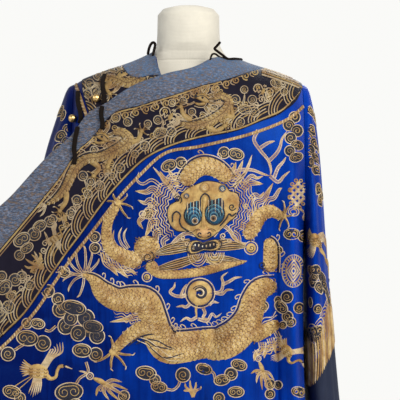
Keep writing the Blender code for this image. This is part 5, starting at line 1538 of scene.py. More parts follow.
def node_group(name, inputs, outputs):
    """A shader node group with named sockets: its tree, its inputs' node and its outputs' node."""
    tree = bpy.data.node_groups.new(name, "ShaderNodeTree")
    for label, kind, value in inputs:
        socket = tree.interface.new_socket(label, in_out="INPUT", socket_type=kind)
        if value is not None:
            socket.default_value = value
    for label, kind in outputs:
        tree.interface.new_socket(label, in_out="OUTPUT", socket_type=kind)
    return tree, tree.nodes.new("NodeGroupInput"), tree.nodes.new("NodeGroupOutput")


def weave_group():
    """Weave: warp and weft ridges as two sine waves over the thread map, each strand a little
    uneven. Height is their product and Streak a slow change along the warp."""
    tree, given, made = node_group(
        "weave",
        (("Map", "NodeSocketVector", None), ("Warp", "NodeSocketFloat", 900.0),
         ("Weft", "NodeSocketFloat", 500.0)),
        (("Height", "NodeSocketFloat"), ("Streak", "NodeSocketFloat")))
    draw = Nodes(tree)
    parts = draw.add("ShaderNodeSeparateXYZ", Vector=given.outputs["Map"])
    noise = draw.add("ShaderNodeTexNoise", Vector=given.outputs["Map"], Scale=70.0, Detail=3.0)
    shift = draw.math("MULTIPLY", noise.outputs[0], 3.0)
    warp = draw.math("SINE", draw.math("ADD", draw.math("MULTIPLY", parts.outputs[0], given.outputs["Warp"]), shift))
    weft = draw.math("SINE", draw.math("ADD", draw.math("MULTIPLY", parts.outputs[1], given.outputs["Weft"]), shift))
    height = draw.math("ADD", draw.math("MULTIPLY", warp, 0.5), draw.math("MULTIPLY", weft, 0.5))
    slow = draw.add("ShaderNodeCombineXYZ", X=draw.math("MULTIPLY", parts.outputs[0], 90.0),
                    Y=draw.math("MULTIPLY", parts.outputs[1], 4.0))
    streak = draw.add("ShaderNodeTexNoise", Vector=slow.outputs[0], Scale=1.0, Detail=5.0, Roughness=0.65)
    tree.links.new(height, made.inputs["Height"])
    tree.links.new(streak.outputs[0], made.inputs["Streak"])
    return tree


def wear_group():
    """Wear and sheen: cloudy patches over Object coordinates, large ones with a fine mottle. The trim, thread, braid
    and metal take them as fading and wear; the satin takes them as painted sheen.
    """
    tree, given, made = node_group(
        "wear_and_sheen", (("Place", "NodeSocketVector", None), ("Scale", "NodeSocketFloat", 6.0)),
        (("Patches", "NodeSocketFloat"), ("Mottle", "NodeSocketFloat")))
    draw = Nodes(tree)
    large = draw.add("ShaderNodeTexNoise", Vector=given.outputs["Place"], Scale=given.outputs["Scale"],
                     Detail=4.0, Roughness=0.6)
    fine = draw.add("ShaderNodeTexNoise", Vector=given.outputs["Place"], Scale=420.0, Detail=3.0,
                    Roughness=0.7)
    tree.links.new(large.outputs[0], made.inputs["Patches"])
    tree.links.new(fine.outputs[0], made.inputs["Mottle"])
    return tree


def twist_group():
    """Twist: slanted ridges of a wound thread over the thread map."""
    tree, given, made = node_group(
        "twist", (("Map", "NodeSocketVector", None), ("Turns", "NodeSocketFloat", 5200.0)),
        (("Height", "NodeSocketFloat"), ("Shade", "NodeSocketFloat")))
    draw = Nodes(tree)
    parts = draw.add("ShaderNodeSeparateXYZ", Vector=given.outputs["Map"])
    slant = draw.math("ADD", parts.outputs[0], draw.math("MULTIPLY", parts.outputs[1], 0.8))
    wave = draw.math("SINE", draw.math("MULTIPLY", slant, given.outputs["Turns"]))
    noise = draw.add("ShaderNodeTexNoise", Vector=given.outputs["Map"], Scale=160.0, Detail=2.0)
    tree.links.new(wave, made.inputs["Height"])
    tree.links.new(noise.outputs[0], made.inputs["Shade"])
    return tree


def group(name):
    """A shared node group, built on its first use."""
    builders = {"weave": weave_group, "wear_and_sheen": wear_group, "twist": twist_group}
    return bpy.data.node_groups.get(name) or builders[name]()


def new_material(name, **constants):
    """A material with its node writer and its Principled shader, whose constants are set."""
    look = bpy.data.materials.new(name)
    look.use_nodes = True
    shader = look.node_tree.nodes["Principled BSDF"]
    for key, value in constants.items():
        shader.inputs[key.replace("_", " ")].default_value = value
    return look, Nodes(look.node_tree), shader


def use_group(draw, name, **inputs):
    """A group's node in a material."""
    return draw.add("ShaderNodeGroup", {"node_tree": group(name)}, **inputs)


def satin(name, deep, light, roughness, sheen, warp=5200.0, weft=3600.0, bump=0.25, wrinkle=0.6, painted_light_lean=0.0):
    """Woven silk, with a fine weave and small wrinkles. Its colour runs from deep to light blue
    by random patches and streaks, which are painted sheen, and it grows lighter towards the wearer's
    left by the lean, which is painted light on the side where the key light stands."""
    look = bpy.data.materials.get(name)
    if look:
        return look
    look, draw, shader = new_material(name, Specular_IOR_Level=0.35, Specular_Tint=(*sheen, 1.0))
    thread = draw.add("ShaderNodeUVMap", {"uv_map": "thread"}).outputs[0]
    place = draw.add("ShaderNodeTexCoord").outputs["Object"]
    sides = draw.add("ShaderNodeSeparateXYZ", Vector=place).outputs["X"]
    weave = use_group(draw, "weave", Map=thread, Warp=warp, Weft=weft)
    wear_and_sheen = use_group(draw, "wear_and_sheen", Place=place, Scale=7.0)
    # painted sheen: random patches and streaks along the warp lighten the blue from deep towards light
    share = draw.math("ADD", draw.math("MULTIPLY", wear_and_sheen.outputs["Patches"], 0.9),
                      draw.math("MULTIPLY", weave.outputs["Streak"], 0.5))
    # painted light: the blue grows lighter towards the wearer's left, the side that the key light falls on
    share = draw.math("ADD", draw.math("SUBTRACT", share, painted_light_lean * 0.10), draw.math("MULTIPLY", sides, painted_light_lean))
    tint = draw.ramp(share, (0.36, deep), (0.66, [(a + b) / 2 for a, b in zip(deep, light)]), (0.95, light))
    dusty = draw.mix(draw.math("MULTIPLY", wear_and_sheen.outputs["Mottle"], 0.35), tint, (*[c * 0.45 for c in deep], 1))
    draw.tree.links.new(dusty, shader.inputs["Base Color"])
    rough = draw.add("ShaderNodeMapRange", {}, Value=weave.outputs["Streak"], From_Min=0.3, From_Max=0.7,
                     To_Min=roughness - 0.05, To_Max=roughness + 0.10)
    draw.tree.links.new(rough.outputs[0], shader.inputs["Roughness"])
    crumple = draw.add("ShaderNodeTexNoise", Vector=place, Scale=46.0, Detail=3.0, Distortion=0.6)
    first = draw.add("ShaderNodeBump", {}, Strength=wrinkle, Distance=0.0016, Height=crumple.outputs[0])
    second = draw.add("ShaderNodeBump", {}, Strength=bump, Distance=0.0002,
                      Height=weave.outputs["Height"], Normal=first.outputs[0])
    draw.tree.links.new(second.outputs[0], shader.inputs["Normal"])
    return look


def brocade(name, ground, pale, brown, neck):
    """Faded brocade trim: a twill of dark and pale blue-grey threads with brown and gold
    flecks along a slant, puckered, and bluer towards the neck."""
    look = bpy.data.materials.get(name)
    if look:
        return look
    look, draw, shader = new_material(name, Roughness=0.75, Sheen_Weight=0.05, Specular_IOR_Level=0.3)
    thread = draw.add("ShaderNodeUVMap", {"uv_map": "thread"}).outputs[0]
    place = draw.add("ShaderNodeTexCoord").outputs["Object"]
    parts = draw.add("ShaderNodeSeparateXYZ", Vector=place)
    weave = use_group(draw, "weave", Map=thread, Warp=4200.0, Weft=2600.0)
    wear_and_sheen = use_group(draw, "wear_and_sheen", Place=place, Scale=24.0)
    slanted = draw.add("ShaderNodeMapping", {}, Vector=place, Rotation=(0.0, 0.6, 0.0), Scale=(0.45, 1.0, 1.3))
    grain = draw.add("ShaderNodeTexNoise", Vector=slanted.outputs[0], Scale=360.0, Detail=3.0, Roughness=0.7)
    fleck = draw.add("ShaderNodeTexNoise", Vector=slanted.outputs[0], Scale=300.0, Detail=2.0, Distortion=1.2)
    high = draw.add("ShaderNodeMapRange", {}, Value=parts.outputs["Z"], From_Min=1.415, From_Max=1.485)
    near = draw.math("MULTIPLY", high.outputs[0], wear_and_sheen.outputs["Patches"])
    base = draw.ramp(grain.outputs[0], (0.36, [c * 0.45 for c in ground]), (0.50, ground), (0.64, pale))
    base = draw.mix(near, base, (*neck, 1.0))
    spots = draw.ramp(fleck.outputs[0], (0.51, (0, 0, 0)), (0.60, (1, 1, 1)))
    tinted = draw.mix(draw.math("MULTIPLY", spots, 0.75), base, (*brown, 1.0))
    draw.tree.links.new(tinted, shader.inputs["Base Color"])
    pucker = draw.add("ShaderNodeTexNoise", Vector=slanted.outputs[0], Scale=60.0, Detail=2.0)
    raised = draw.math("ADD", draw.math("MULTIPLY", pucker.outputs[0], 2.0),
                       draw.math("ADD", draw.math("MULTIPLY", spots, 0.4), weave.outputs["Height"]))
    bump = draw.add("ShaderNodeBump", {}, Strength=0.55, Distance=0.0006, Height=raised)
    draw.tree.links.new(bump.outputs[0], shader.inputs["Normal"])
    return look


def stitched_metal():
    """Metal-wrapped thread: its colour from the shade attribute, with wound ridges, tarnish and
    a soft metallic gloss."""
    look = bpy.data.materials.get("embroidery thread")
    if look:
        return look
    look, draw, shader = new_material("embroidery thread", Metallic=0.12, Specular_IOR_Level=0.4)
    shade = draw.add("ShaderNodeAttribute", {"attribute_name": "shade"}).outputs["Color"]
    thread = draw.add("ShaderNodeUVMap", {"uv_map": "thread"}).outputs[0]
    place = draw.add("ShaderNodeTexCoord").outputs["Object"]
    twist = use_group(draw, "twist", Map=thread, Turns=5200.0)
    wear_and_sheen = use_group(draw, "wear_and_sheen", Place=place, Scale=38.0)
    tarnish = draw.ramp(wear_and_sheen.outputs["Patches"], (0.34, (0.60, 0.46, 0.34)), (0.60, (1.0, 1.0, 1.0)))
    worn = draw.add("ShaderNodeMix", {"data_type": "RGBA", "blend_type": "MULTIPLY"}, i0=1.0, i6=shade,
                    i7=tarnish).outputs[2]
    broken = draw.math("MULTIPLY", draw.math("SUBTRACT", twist.outputs["Shade"], 0.45), 1.2)
    mixed = draw.mix(broken, worn, (0.06, 0.04, 0.025, 1.0))
    draw.tree.links.new(mixed, shader.inputs["Base Color"])
    rough = draw.add("ShaderNodeMapRange", {}, Value=wear_and_sheen.outputs["Mottle"], To_Min=0.34, To_Max=0.62)
    draw.tree.links.new(rough.outputs[0], shader.inputs["Roughness"])
    bump = draw.add("ShaderNodeBump", {}, Strength=0.35, Distance=0.0003, Height=twist.outputs["Height"])
    draw.tree.links.new(bump.outputs[0], shader.inputs["Normal"])
    return look


def plain_cloth(name, colour, roughness, rib=3000.0, strength=0.3, wrinkle=0.2, sheen=0.2):
    """A matt cloth or braid: one colour with a cloudy change, and fine ribs over its threads."""
    look = bpy.data.materials.get(name)
    if look:
        return look
    look, draw, shader = new_material(name, Roughness=roughness, Sheen_Weight=sheen, Specular_IOR_Level=sheen)
    thread = draw.add("ShaderNodeUVMap", {"uv_map": "thread"}).outputs[0]
    place = draw.add("ShaderNodeTexCoord").outputs["Object"]
    weave = use_group(draw, "weave", Map=thread, Warp=rib, Weft=rib * 0.7)
    wear_and_sheen = use_group(draw, "wear_and_sheen", Place=place, Scale=9.0)
    tint = draw.ramp(wear_and_sheen.outputs["Patches"], (0.35, [c * 0.80 for c in colour]), (0.65, colour))
    mottled = draw.mix(draw.math("MULTIPLY", wear_and_sheen.outputs["Mottle"], 0.25), tint,
                       (*[c * 0.6 for c in colour], 1.0))
    draw.tree.links.new(mottled, shader.inputs["Base Color"])
    soft = draw.add("ShaderNodeTexNoise", Vector=place, Scale=24.0, Detail=2.0)
    first = draw.add("ShaderNodeBump", {}, Strength=wrinkle, Distance=0.003, Height=soft.outputs[0])
    second = draw.add("ShaderNodeBump", {}, Strength=strength, Distance=0.0003,
                      Height=weave.outputs["Height"], Normal=first.outputs[0])
    draw.tree.links.new(second.outputs[0], shader.inputs["Normal"])
    return look


def metal(name, colour, roughness, scale=(1.0, 1.0, 40.0)):
    """Brushed or gilt metal: fine scratches drawn out along one direction, and dulled patches."""
    look = bpy.data.materials.get(name)
    if look:
        return look
    look, draw, shader = new_material(name, Metallic=1.0)
    place = draw.add("ShaderNodeTexCoord").outputs["Object"]
    stretched = draw.add("ShaderNodeMapping", {}, Vector=place, Scale=scale)
    scratches = draw.add("ShaderNodeTexNoise", Vector=stretched.outputs[0], Scale=12.0, Detail=6.0,
                         Roughness=0.7)
    wear_and_sheen = use_group(draw, "wear_and_sheen", Place=place, Scale=30.0)
    tint = draw.ramp(wear_and_sheen.outputs["Patches"], (0.30, [c * 0.60 for c in colour]), (0.60, colour))
    draw.tree.links.new(tint, shader.inputs["Base Color"])
    rough = draw.add("ShaderNodeMapRange", {}, Value=scratches.outputs[0], To_Min=roughness - 0.08,
                     To_Max=roughness + 0.18)
    draw.tree.links.new(rough.outputs[0], shader.inputs["Roughness"])
    bump = draw.add("ShaderNodeBump", {}, Strength=0.15, Distance=0.0003, Height=scratches.outputs[0])
    draw.tree.links.new(bump.outputs[0], shader.inputs["Normal"])
    return look


CLOTHS = {}


def cloth(name):
    """A cloth's table, worked out on its first use."""
    if name not in CLOTHS:
        panels = {"overlap": (OVERLAP, overlap_top, OVERLAP_CREASES),
                  "under": (UNDER, under_top, UNDER_CREASES),
                  "back": (BACK, back_top, BACK_CREASES)}
        CLOTHS[name] = Panel(*panels[name]) if name in panels else Sleeve(1 if name == "left" else -1)
    return CLOTHS[name]


def settings():
    """The robe's settings."""
    return bpy.context.scene.dragon_robe


def blue_satin():
    """The robe's ground cloth."""
    # the last argument paints light on the satin: lighter towards the wearer's left
    return satin("blue satin", tuple(settings().satin_deep), tuple(settings().satin_light), 0.38,
                 (0.05, 0.30, 1.0), painted_light_lean=0.95)


def dark_satin():
    """The dark border's cloth."""
    # the second colour is painted sheen, laid on in the satin's patches and streaks
    return satin("dark satin", tuple(settings().border_colour), (0.012, 0.010, 0.018), 0.50,
                 (0.20, 0.18, 0.26), wrinkle=0.4)


def trim_cloth():
    """The faded brocade at the neck and the overlap's edge."""
    return brocade("trim brocade", tuple(settings().trim_colour), (0.180, 0.215, 0.300),
                   (0.150, 0.095, 0.055), (0.080, 0.170, 0.320))


def trim_line(x):
    """Lower edge of the overlap's trim."""
    return np.minimum(smooth(x, TRIM_X, TRIM_Z), overlap_top(x))


def border_line(x):
    """Lower edge of the overlap's dark border."""
    return np.minimum(smooth(x, BORDER_X, BORDER_Z), overlap_top(x))


def under_trim_line(x):
    """Lower edge of the under front's trim."""
    return np.minimum(smooth(x, *zip(*UNDER_TRIM)), under_top(x))


def under_border_line(x):
    """Lower edge of the under front's border."""
    return np.minimum(smooth(x, *zip(*UNDER_BORDER)), under_top(x))


def oval_line(half_width, bottom_z):
    """Lower edge of a band round the back of the neck: half an oval."""
    def line(x):
        inside = np.clip(1 - (x / half_width) ** 2, 0.0, 1.0)
        return np.minimum(BACK_OVAL_Z - (BACK_OVAL_Z - bottom_z) * np.sqrt(inside), back_top(x))
    return line


def station_at(panel, x, z):
    """Station of a panel where its cloth passes through x at height z."""
    k = np.linspace(0, len(panel.stations) - 1, 600)
    xs = panel.point(k, np.full(600, z))[:, 0]
    order = np.argsort(xs)
    return float(np.interp(x, xs[order], k[order]))


def lowered(line, gap):
    """A line a small gap below another."""
    return lambda x: line(x) - gap


BANDS = (
    ("trim_front", "overlap", None, (0.1495, 1.478), overlap_top, trim_line, True),
    ("border_front", "overlap", None, (0.2136, 1.450), trim_line, border_line, False),
    ("trim_under", "under", (-0.0460, 1.4550), (-0.1275, 1.490), under_top, under_trim_line, True),
    ("border_under", "under", None, (-0.2015, 1.455), under_trim_line, under_border_line, False),
    ("trim_back", "back", (0.1245, 1.485), (-0.1245, 1.485), back_top,
     oval_line(BACK_TRIM_HALF_WIDTH, BACK_TRIM_BOTTOM_Z), True),
    ("border_back", "back", (0.2020, 1.457), (-0.2020, 1.457),
     oval_line(BACK_TRIM_HALF_WIDTH, BACK_TRIM_BOTTOM_Z),
     oval_line(BACK_BORDER_HALF_WIDTH, BACK_BORDER_BOTTOM_Z), False),
)


class ROBE_OT_body(bpy.types.Operator):
    """Overlap, under front and back, as fine creased cloth"""
    bl_idname = "robe.body"
    bl_label = "Body panels"

    def execute(self, context):
        for name, node, columns, rows, rests in (
                ("overlap", "robe_overlap_front", 132, 216, ["robe_under_front"]),
                ("under", "robe_under_front", 64, 110, ["form_torso"]),
                ("back", "robe_back", 104, 170, ["form_torso"])):
            grid = cloth(name).grid(columns, rows)
            item = shell(node + "_cloth", grid, moved(grid, -WALL), blue_satin())
            finished(item, node, grid)
        return {"FINISHED"}


class ROBE_OT_sleeves(bpy.types.Operator):
    """Upper sleeves to their seam and the darker lower sleeves"""
    bl_idname = "robe.sleeves"
    bl_label = "Sleeves"

    def execute(self, context):
        last = len(SLEEVE_RINGS) - 1
        # the navy's second colour is painted sheen, laid on in the satin's patches and streaks
        navy = satin("navy sleeve", (0.006, 0.009, 0.022), (0.022, 0.028, 0.055), 0.60, (0.4, 0.45, 0.6),
                     wrinkle=0.9)
        for side, name in ((1, "left"), (-1, "right")):
            for part, first, end, rows, look, slot in (
                    ("upper", 0, SLEEVE_SEAM_RING, 120, blue_satin(), "blue_satin"),
                    ("lower", SLEEVE_SEAM_RING + SLEEVE_SEAM_SHIFT, last, 70, navy, "navy_sleeve")):
                w = np.linspace(first, end, rows + 1)[:, None]
                theta = np.linspace(0, 2 * math.pi, 80, endpoint=False)[None]
                turned = np.where(theta > math.pi, theta - 2 * math.pi, theta)
                outer = cloth(name).point(*np.broadcast_arrays(w, turned))
                inner = cloth(name).point(*np.broadcast_arrays(w, turned), inset=WALL)
                node = f"sleeve_{name}_{part}"
                item = shell(node + "_cloth", outer, inner, look, closed=True)
                middle = np.concatenate([outer, outer[:, :1]], 1)
                finished(item, node, middle)
        return {"FINISHED"}


class ROBE_OT_bands(bpy.types.Operator):
    """Faded trim and dark border at the neck and along the overlap"""
    bl_idname = "robe.bands"
    bl_label = "Trim and border"

    def execute(self, context):
        for node, name, start, end, upper, lower, is_trim in BANDS:
            panel = cloth(name)
            first = station_at(panel, *start) if start else 0.0
            last = station_at(panel, *end)
            if not is_trim:
                upper = lowered(upper, SEAM)
            grid = panel.strip(first, last, upper, lower, 150 if name == "overlap" else 80, 18)
            item = shell(node + "_cloth", moved(grid, SEAM + BAND_WALL), moved(grid, SEAM),
                         trim_cloth() if is_trim else dark_satin())
            finished(item, node, grid)
        return {"FINISHED"}


def pixel_of(x, z, y=-0.14):
    """Picture's place of a point."""
    scale = (y - EYE[1]) / FOCAL
    return (FRAME_WIDTH / 2 + (x - EYE[0]) / scale, FRAME_WIDTH / 2 - (z - EYE[2]) / scale)


def pen_on(stitching, a, b):
    """A pen whose drawing stands upright on the cloth round a point, true to size."""
    matrix = stitching.cloth.upright(a, b)
    centre = np.array((a, b))
    return Pen(stitching, onto=lambda points: centre + points * UNIT @ matrix.T)


def sewn(stitching):
    """Makes a stitching's mesh and lets it ride on the robe."""
    item = stitching.made(stitched_metal())
    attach(item, "root")
    return item


class ROBE_OT_front_stitching(bpy.types.Operator):
    """Dragon, pearl, clouds, cranes and gold rope on the overlap"""
    bl_idname = "robe.front_stitching"
    bl_label = "Front embroidery"

    def execute(self, context):
        panel = cloth("overlap")

        def on_blue(flat):
            x = panel.read(panel.points, flat[:, 0], flat[:, 1])[:, 0]
            return flat[:, 1] < border_line(x) - 0.002

        dragon = Stitching("stitching_dragon", panel, keep=on_blue)
        pen = Pen(dragon, onto=panel.seen)
        frontal_dragon(pen)
        flame_branch(pen)
        sewn(dragon)
        ground = Stitching("stitching_clouds_front", panel, keep=on_blue)
        pen = Pen(ground, onto=panel.seen)
        for drawing, x, y, scale, turn, flip in FRONT_CLOUDS:
            cloud(pen.at((x, y), turn, scale, flip), drawing)
        for drawing, x, y, scale, turn, flip in RIDGE_CLOUDS:
            cloud(pen.at((x, y), turn, scale, flip), drawing)
        for x, y, scale, turn, flip in FRONT_CRANES:
            crane(pen.at((x, y), turn, scale, flip))
        for x, y, scale, turn in FRONT_ORNAMENTS:
            tied_ornament(pen.at((x, y), turn, scale))
        for x, y, scale, turn in FRONT_TUFTS:
            flame_tuft(pen.at((x, y), turn, scale))
        for neck in CLOUD_NECKS:
            for shift, shade in ((-0.9, PALE), (0.9, GOLD)):
                line = eased(neck, 4)
                pen.line(line + beside(line) * shift, 1.1, shade=shade, steps=1)
        for fin in (((258, 328), (264, 322), (270, 320), (277, 315)), ((258, 325), (264, 318), (272, 317), (276, 311))):
            pen.line(fin, 1.1, shade=PALE)
        endless_knot(pen.at((297.5, 194), 0.05))
        fret_medallion(pen.at((293.5, 271), 0.05, 0.95))
        rope(pen, [pixel_of(x, z) for x, z in ROPE_LINE])
        hem_water(ground)
        sewn(ground)
        return {"FINISHED"}


def hem_water(stitching):
    """Standing water at the hem: slanted wavy ribs all along, with wave hills above them."""
    panel = stitching.cloth
    stops, low, high = panel.edges
    left, right = float(np.interp(HEM_Z, stops, low)), float(np.interp(HEM_Z, stops, high))
    pen = Pen(stitching, onto=lambda points: points * (UNIT, -UNIT))
    top = HEM_Z + 0.150
    count = int((right - left) / 0.0085)
    for n in range(count):
        a = left + (n + 0.5) / count * (right - left)
        rib = wavy((a / UNIT, -top / UNIT), ((a + 0.045) / UNIT, -(HEM_Z + 0.012) / UNIT), 1.5, 2.5, n * 0.2)
        pen.line(rib, 1.6, 0.0008, (GOLD, PALE, TEAL, ROSE)[n % 4], steps=1)
    for level in range(3):
        line = [(a / UNIT, -(top + 0.020 * level + 0.004) / UNIT) for a in np.linspace(left, right, 12)]
        wave_hills(pen, line, 24 - 2 * level, 13, 4)


class ROBE_OT_border_stitching(bpy.types.Operator):
    """Dragons, clouds and waves on the dark border"""
    bl_idname = "robe.border_stitching"
    bl_label = "Border embroidery"

    def execute(self, context):
        panel = cloth("overlap")

        def on_border(flat):
            x = panel.read(panel.points, flat[:, 0], flat[:, 1])[:, 0]
            z = flat[:, 1]
            return (z > border_line(x) + 0.001) & (z < trim_line(x) - 0.0010)

        work = Stitching("stitching_border_front", panel, SEAM + BAND_WALL, on_border, BORDER_TONE)
        pen = Pen(work, onto=panel.seen)
        self.edges(pen, BORDER_X, BORDER_Z, TRIM_X, TRIM_Z)
        self.scrolls(pen, [pixel_of(x, z - 0.012) for x, z in zip(TRIM_X[6:], TRIM_Z[6:])])
        for dragon in BORDER_DRAGONS:
            running_dragon(pen, *dragon)
        for x, y, scale, turn in BORDER_BATS:
            bat(pen.at((x, y), turn, scale))
        for x, y, scale, turn, flip in BORDER_CRANES:
            crane(pen.at((x, y), turn, scale, flip))
        for x, y, scale, turn in BORDER_TUFTS:
            flame_tuft(pen.at((x, y), turn, scale))
        for drawing, x, y, scale, turn, flip in BORDER_CLOUDS:
            cloud(pen.at((x, y), turn, scale, flip), drawing)
        shoulder = [(x, float(overlap_top(np.array(x))) - 0.016) for x in (0.130, 0.150, 0.170, 0.190, 0.212)]
        for n in range(5):
            pen.line([pixel_of(x, z - 0.0042 * n) for x, z in shoulder], 1.6, 0.0014, (PALE, GOLD)[n % 2])
        sewn(work)
        self.under()
        self.back()
        return {"FINISHED"}

    def edges(self, pen, low_x, low_z, high_x, high_z):
        """Gold lines along both edges of the border, and waves along the lower one."""
        low = eased([pixel_of(x, z) for x, z in zip(low_x, low_z)], 4)
        high = eased([pixel_of(x, z) for x, z in zip(high_x, high_z)], 4)
        for line, shift in ((low, 1.6), (high, -1.8)):
            pen.line(line + beside(line) * shift, 1.6, 0.0012, GOLD, steps=1)
        pen.line(high - beside(high) * 4.4, 1.1, 0.0010, TAN, steps=1)
        wave_hills(pen, low + beside(low) * 2.6)

    def scrolls(self, pen, line, pitch=10.5, radius=4.2):
        """A row of small curls along a line, turned in and out by turns."""
        line = eased(line, 6)
        run = run_of(line)
        for n in range(int(run[-1] / pitch)):
            (x, y), = read_at((n + 0.5) * pitch, run, line)
            way = 1 - 2 * (n % 2)
            pen.line(spiral(x, y, radius, 0.7, 1.2 * way, 1.5 * way, 20), 1.3, shade=GOLD, steps=1)
            pen.line(((x - radius, y + way), (x - radius * 1.3, y - 3 * way), (x - radius * 0.4, y - 5 * way)),
                     1.1, shade=PALE, taper=(1, 0.3))

    def under(self):
        """Dragon and scrolls on the under front's border, at the wearer's right shoulder."""
        panel = cloth("under")

        def on_border(flat):
            x = panel.read(panel.points, flat[:, 0], flat[:, 1])[:, 0]
            return (flat[:, 1] > under_border_line(x) + 0.001) & (flat[:, 1] < under_trim_line(x) - 0.001)

        work = Stitching("stitching_border_under", panel, SEAM + BAND_WALL, on_border, BORDER_TONE)
        pen = Pen(work, onto=panel.seen)
        running_dragon(pen, ((100, 84), (108, 78), (118, 80), (128, 84), (138, 80), (146, 82)),
                       (1.5, 3.5, 4.2, 4.4, 4.0, 3.0), (121, 75), -0.2, 1,
                       (((112, 82), (106, 88), (110, 94)), ((132, 84), (138, 90), (146, 88))))
        for x, y in ((90, 84), (96, 92), (88, 94), (152, 80), (158, 86), (104, 96), (98, 76), (134, 72), (144, 74)):
            cloud(pen.at((x, y), 0.3, 0.75), CLOUD_CURL)
        low = [pixel_of(x, z + 0.004) for x, z in UNDER_BORDER]
        wave_hills(pen, low[1:], 26, 10, 3, False)
        pen.line(low, 1.6, 0.0012, GOLD)
        sewn(work)
        work = Stitching("stitching_rope_under", panel)
        pen = Pen(work, onto=panel.seen)
        rope(pen, [pixel_of(x, z) for x, z in UNDER_ROPE])
        sewn(work)

    def back(self):
        """Two running dragons, clouds and waves on the back's border."""
        panel = cloth("back")
        low = oval_line(BACK_BORDER_HALF_WIDTH - 0.002, BACK_BORDER_BOTTOM_Z + 0.002)
        high = oval_line(BACK_TRIM_HALF_WIDTH, BACK_TRIM_BOTTOM_Z)

        def on_border(flat):
            x = panel.read(panel.points, flat[:, 0], flat[:, 1])[:, 0]
            return (flat[:, 1] > low(x)) & (flat[:, 1] < high(x) - 0.001)

        work = Stitching("stitching_border_back", panel, SEAM + BAND_WALL, on_border, BORDER_TONE)
        pen = pen_on(work, 0.0, 1.36)
        edge = [(x / UNIT, (1.36 - float(low(np.array(-x)))) / UNIT) for x in np.linspace(-0.198, 0.198, 40)]
        wave_hills(pen, edge, 44, 15, 4)
        pen.line(edge, 1.6, 0.0012, GOLD, steps=1)
        for way in (-1, 1):
            side = pen.at((0, 0), 0, 1, way)
            running_dragon(side, ((98, -62), (90, -48), (78, -40), (62, -36), (50, -30), (40, -33), (32, -31)),
                           (1.0, 3.2, 4.4, 4.8, 4.6, 4.2, 3.4), (24, -32), 0.1, -1,
                           (((84, -44), (88, -34), (94, -40)), ((60, -36), (62, -46), (70, -50)),
                            ((46, -32), (44, -22), (52, -20))))
            for x, y in ((105, -52), (72, -52), (34, -46), (12, -50), (8, -24), (80, -28)):
                cloud(side.at((x, y), 0.2, 0.8), CLOUD_CURL)
        sewn(work)


class ROBE_OT_sleeve_stitching(bpy.types.Operator):
    """Clouds, cranes and gold ribs on both sleeves"""
    bl_idname = "robe.sleeve_stitching"
    bl_label = "Sleeve embroidery"

    def execute(self, context):
        for name in ("left", "right"):
            sleeve = cloth(name)
            seam = float(np.interp(RIB_END_RING, sleeve.w_stops, sleeve.down))
            work = Stitching(f"stitching_sleeve_{name}", sleeve,
                             keep=lambda flat, limit=seam: flat[:, 1] < limit - 0.004)
            places = [(drawing, *cloth("left").seen((x, y)), scale, turn, flip)
                      for drawing, x, y, scale, turn, flip in SLEEVE_CLOUDS]
            crane_place = cloth("left").seen((316, 240))
            self.ribs(work, seam)
            for mirror in (1, -1):
                for drawing, a, b, scale, turn, flip in places:
                    cloud(pen_on(work, a * mirror, b).at((0, 0), turn, scale, flip), drawing)
                crane(pen_on(work, crane_place[0] * mirror, crane_place[1]).at((0, 0), 0.3, 0.8, mirror))
            sewn(work)
        return {"FINISHED"}

    def ribs(self, work, seam, high=0.088, pitch=4.4):
        """Standing water above the seam: padded gold ribs side by side all round the sleeve,
        under a row of striped hills."""
        pen = Pen(work, onto=lambda points: points * UNIT)
        for n in range(-36, 37):
            x = n * pitch
            top = seam - high * (1 - 0.12 * math.sin(n * 0.5))
            line = [(x + math.sin(s * 5 + n) * 0.5, (top + (seam - 0.005 - top) * s) / UNIT)
                    for s in (0, 0.25, 0.5, 0.75, 1)]
            pen.band(line, np.full(5, pitch * 0.42), 0.0016, (GOLD, PALE, GOLD, TAN)[n % 4], 3, 4)
        foot = [(x, (seam - high + 0.004) / UNIT) for x in np.linspace(-160, 160, 60)]
        wave_hills(pen, foot, 30, 13, 4, False)


class ROBE_OT_back_stitching(bpy.types.Operator):
    """A frontal dragon, clouds and cranes on the back"""
    bl_idname = "robe.back_stitching"
    bl_label = "Back embroidery"

    def execute(self, context):
        panel = cloth("back")

        def on_blue(flat):
            x = panel.read(panel.points, flat[:, 0], flat[:, 1])[:, 0]
            return flat[:, 1] < oval_line(BACK_BORDER_HALF_WIDTH, BACK_BORDER_BOTTOM_Z)(x) - 0.004

        work = Stitching("stitching_dragon_back", panel, keep=on_blue)
        frontal_dragon(pen_on(work, 0.0, 1.080).at((-176, -262)))
        sewn(work)
        work = Stitching("stitching_clouds_back", panel, keep=on_blue)
        for n, (a, z) in enumerate(((-0.17, 1.27), (0.17, 1.29), (-0.18, 1.02), (0.19, 1.04), (-0.10, 0.85),
                                    (0.12, 0.84), (0.0, 0.80), (-0.22, 0.72), (0.24, 0.73), (-0.05, 0.66),
                                    (0.10, 0.60), (-0.16, 0.54), (0.26, 0.55), (-0.28, 0.47), (0.02, 0.46))):
            drawing = (CLOUD_BANK, CLOUD_CHAIN, CLOUD_PAIR)[n % 3]
            cloud(pen_on(work, a, z).at((0, 0), 0.1, 1.1, 1 - 2 * (n % 2)), drawing)
        for a, z, flip in ((-0.20, 0.90, 1), (0.20, 0.92, -1), (0.16, 0.44, 1), (-0.16, 0.40, -1)):
            crane(pen_on(work, a, z).at((0, 0), 0.1, 1.0, flip))
        hem_water(work)
        sewn(work)
        panel = cloth("under")
        work = Stitching("stitching_under", panel)
        for n, (a, z) in enumerate(((-0.16, 0.90), (-0.20, 0.70), (-0.12, 0.50), (0.02, 0.64))):
            cloud(pen_on(work, a, z).at((0, 0), 0.1, 1.1, 1 - 2 * (n % 2)), CLOUD_BANK)
        hem_water(work)
        sewn(work)
        return {"FINISHED"}


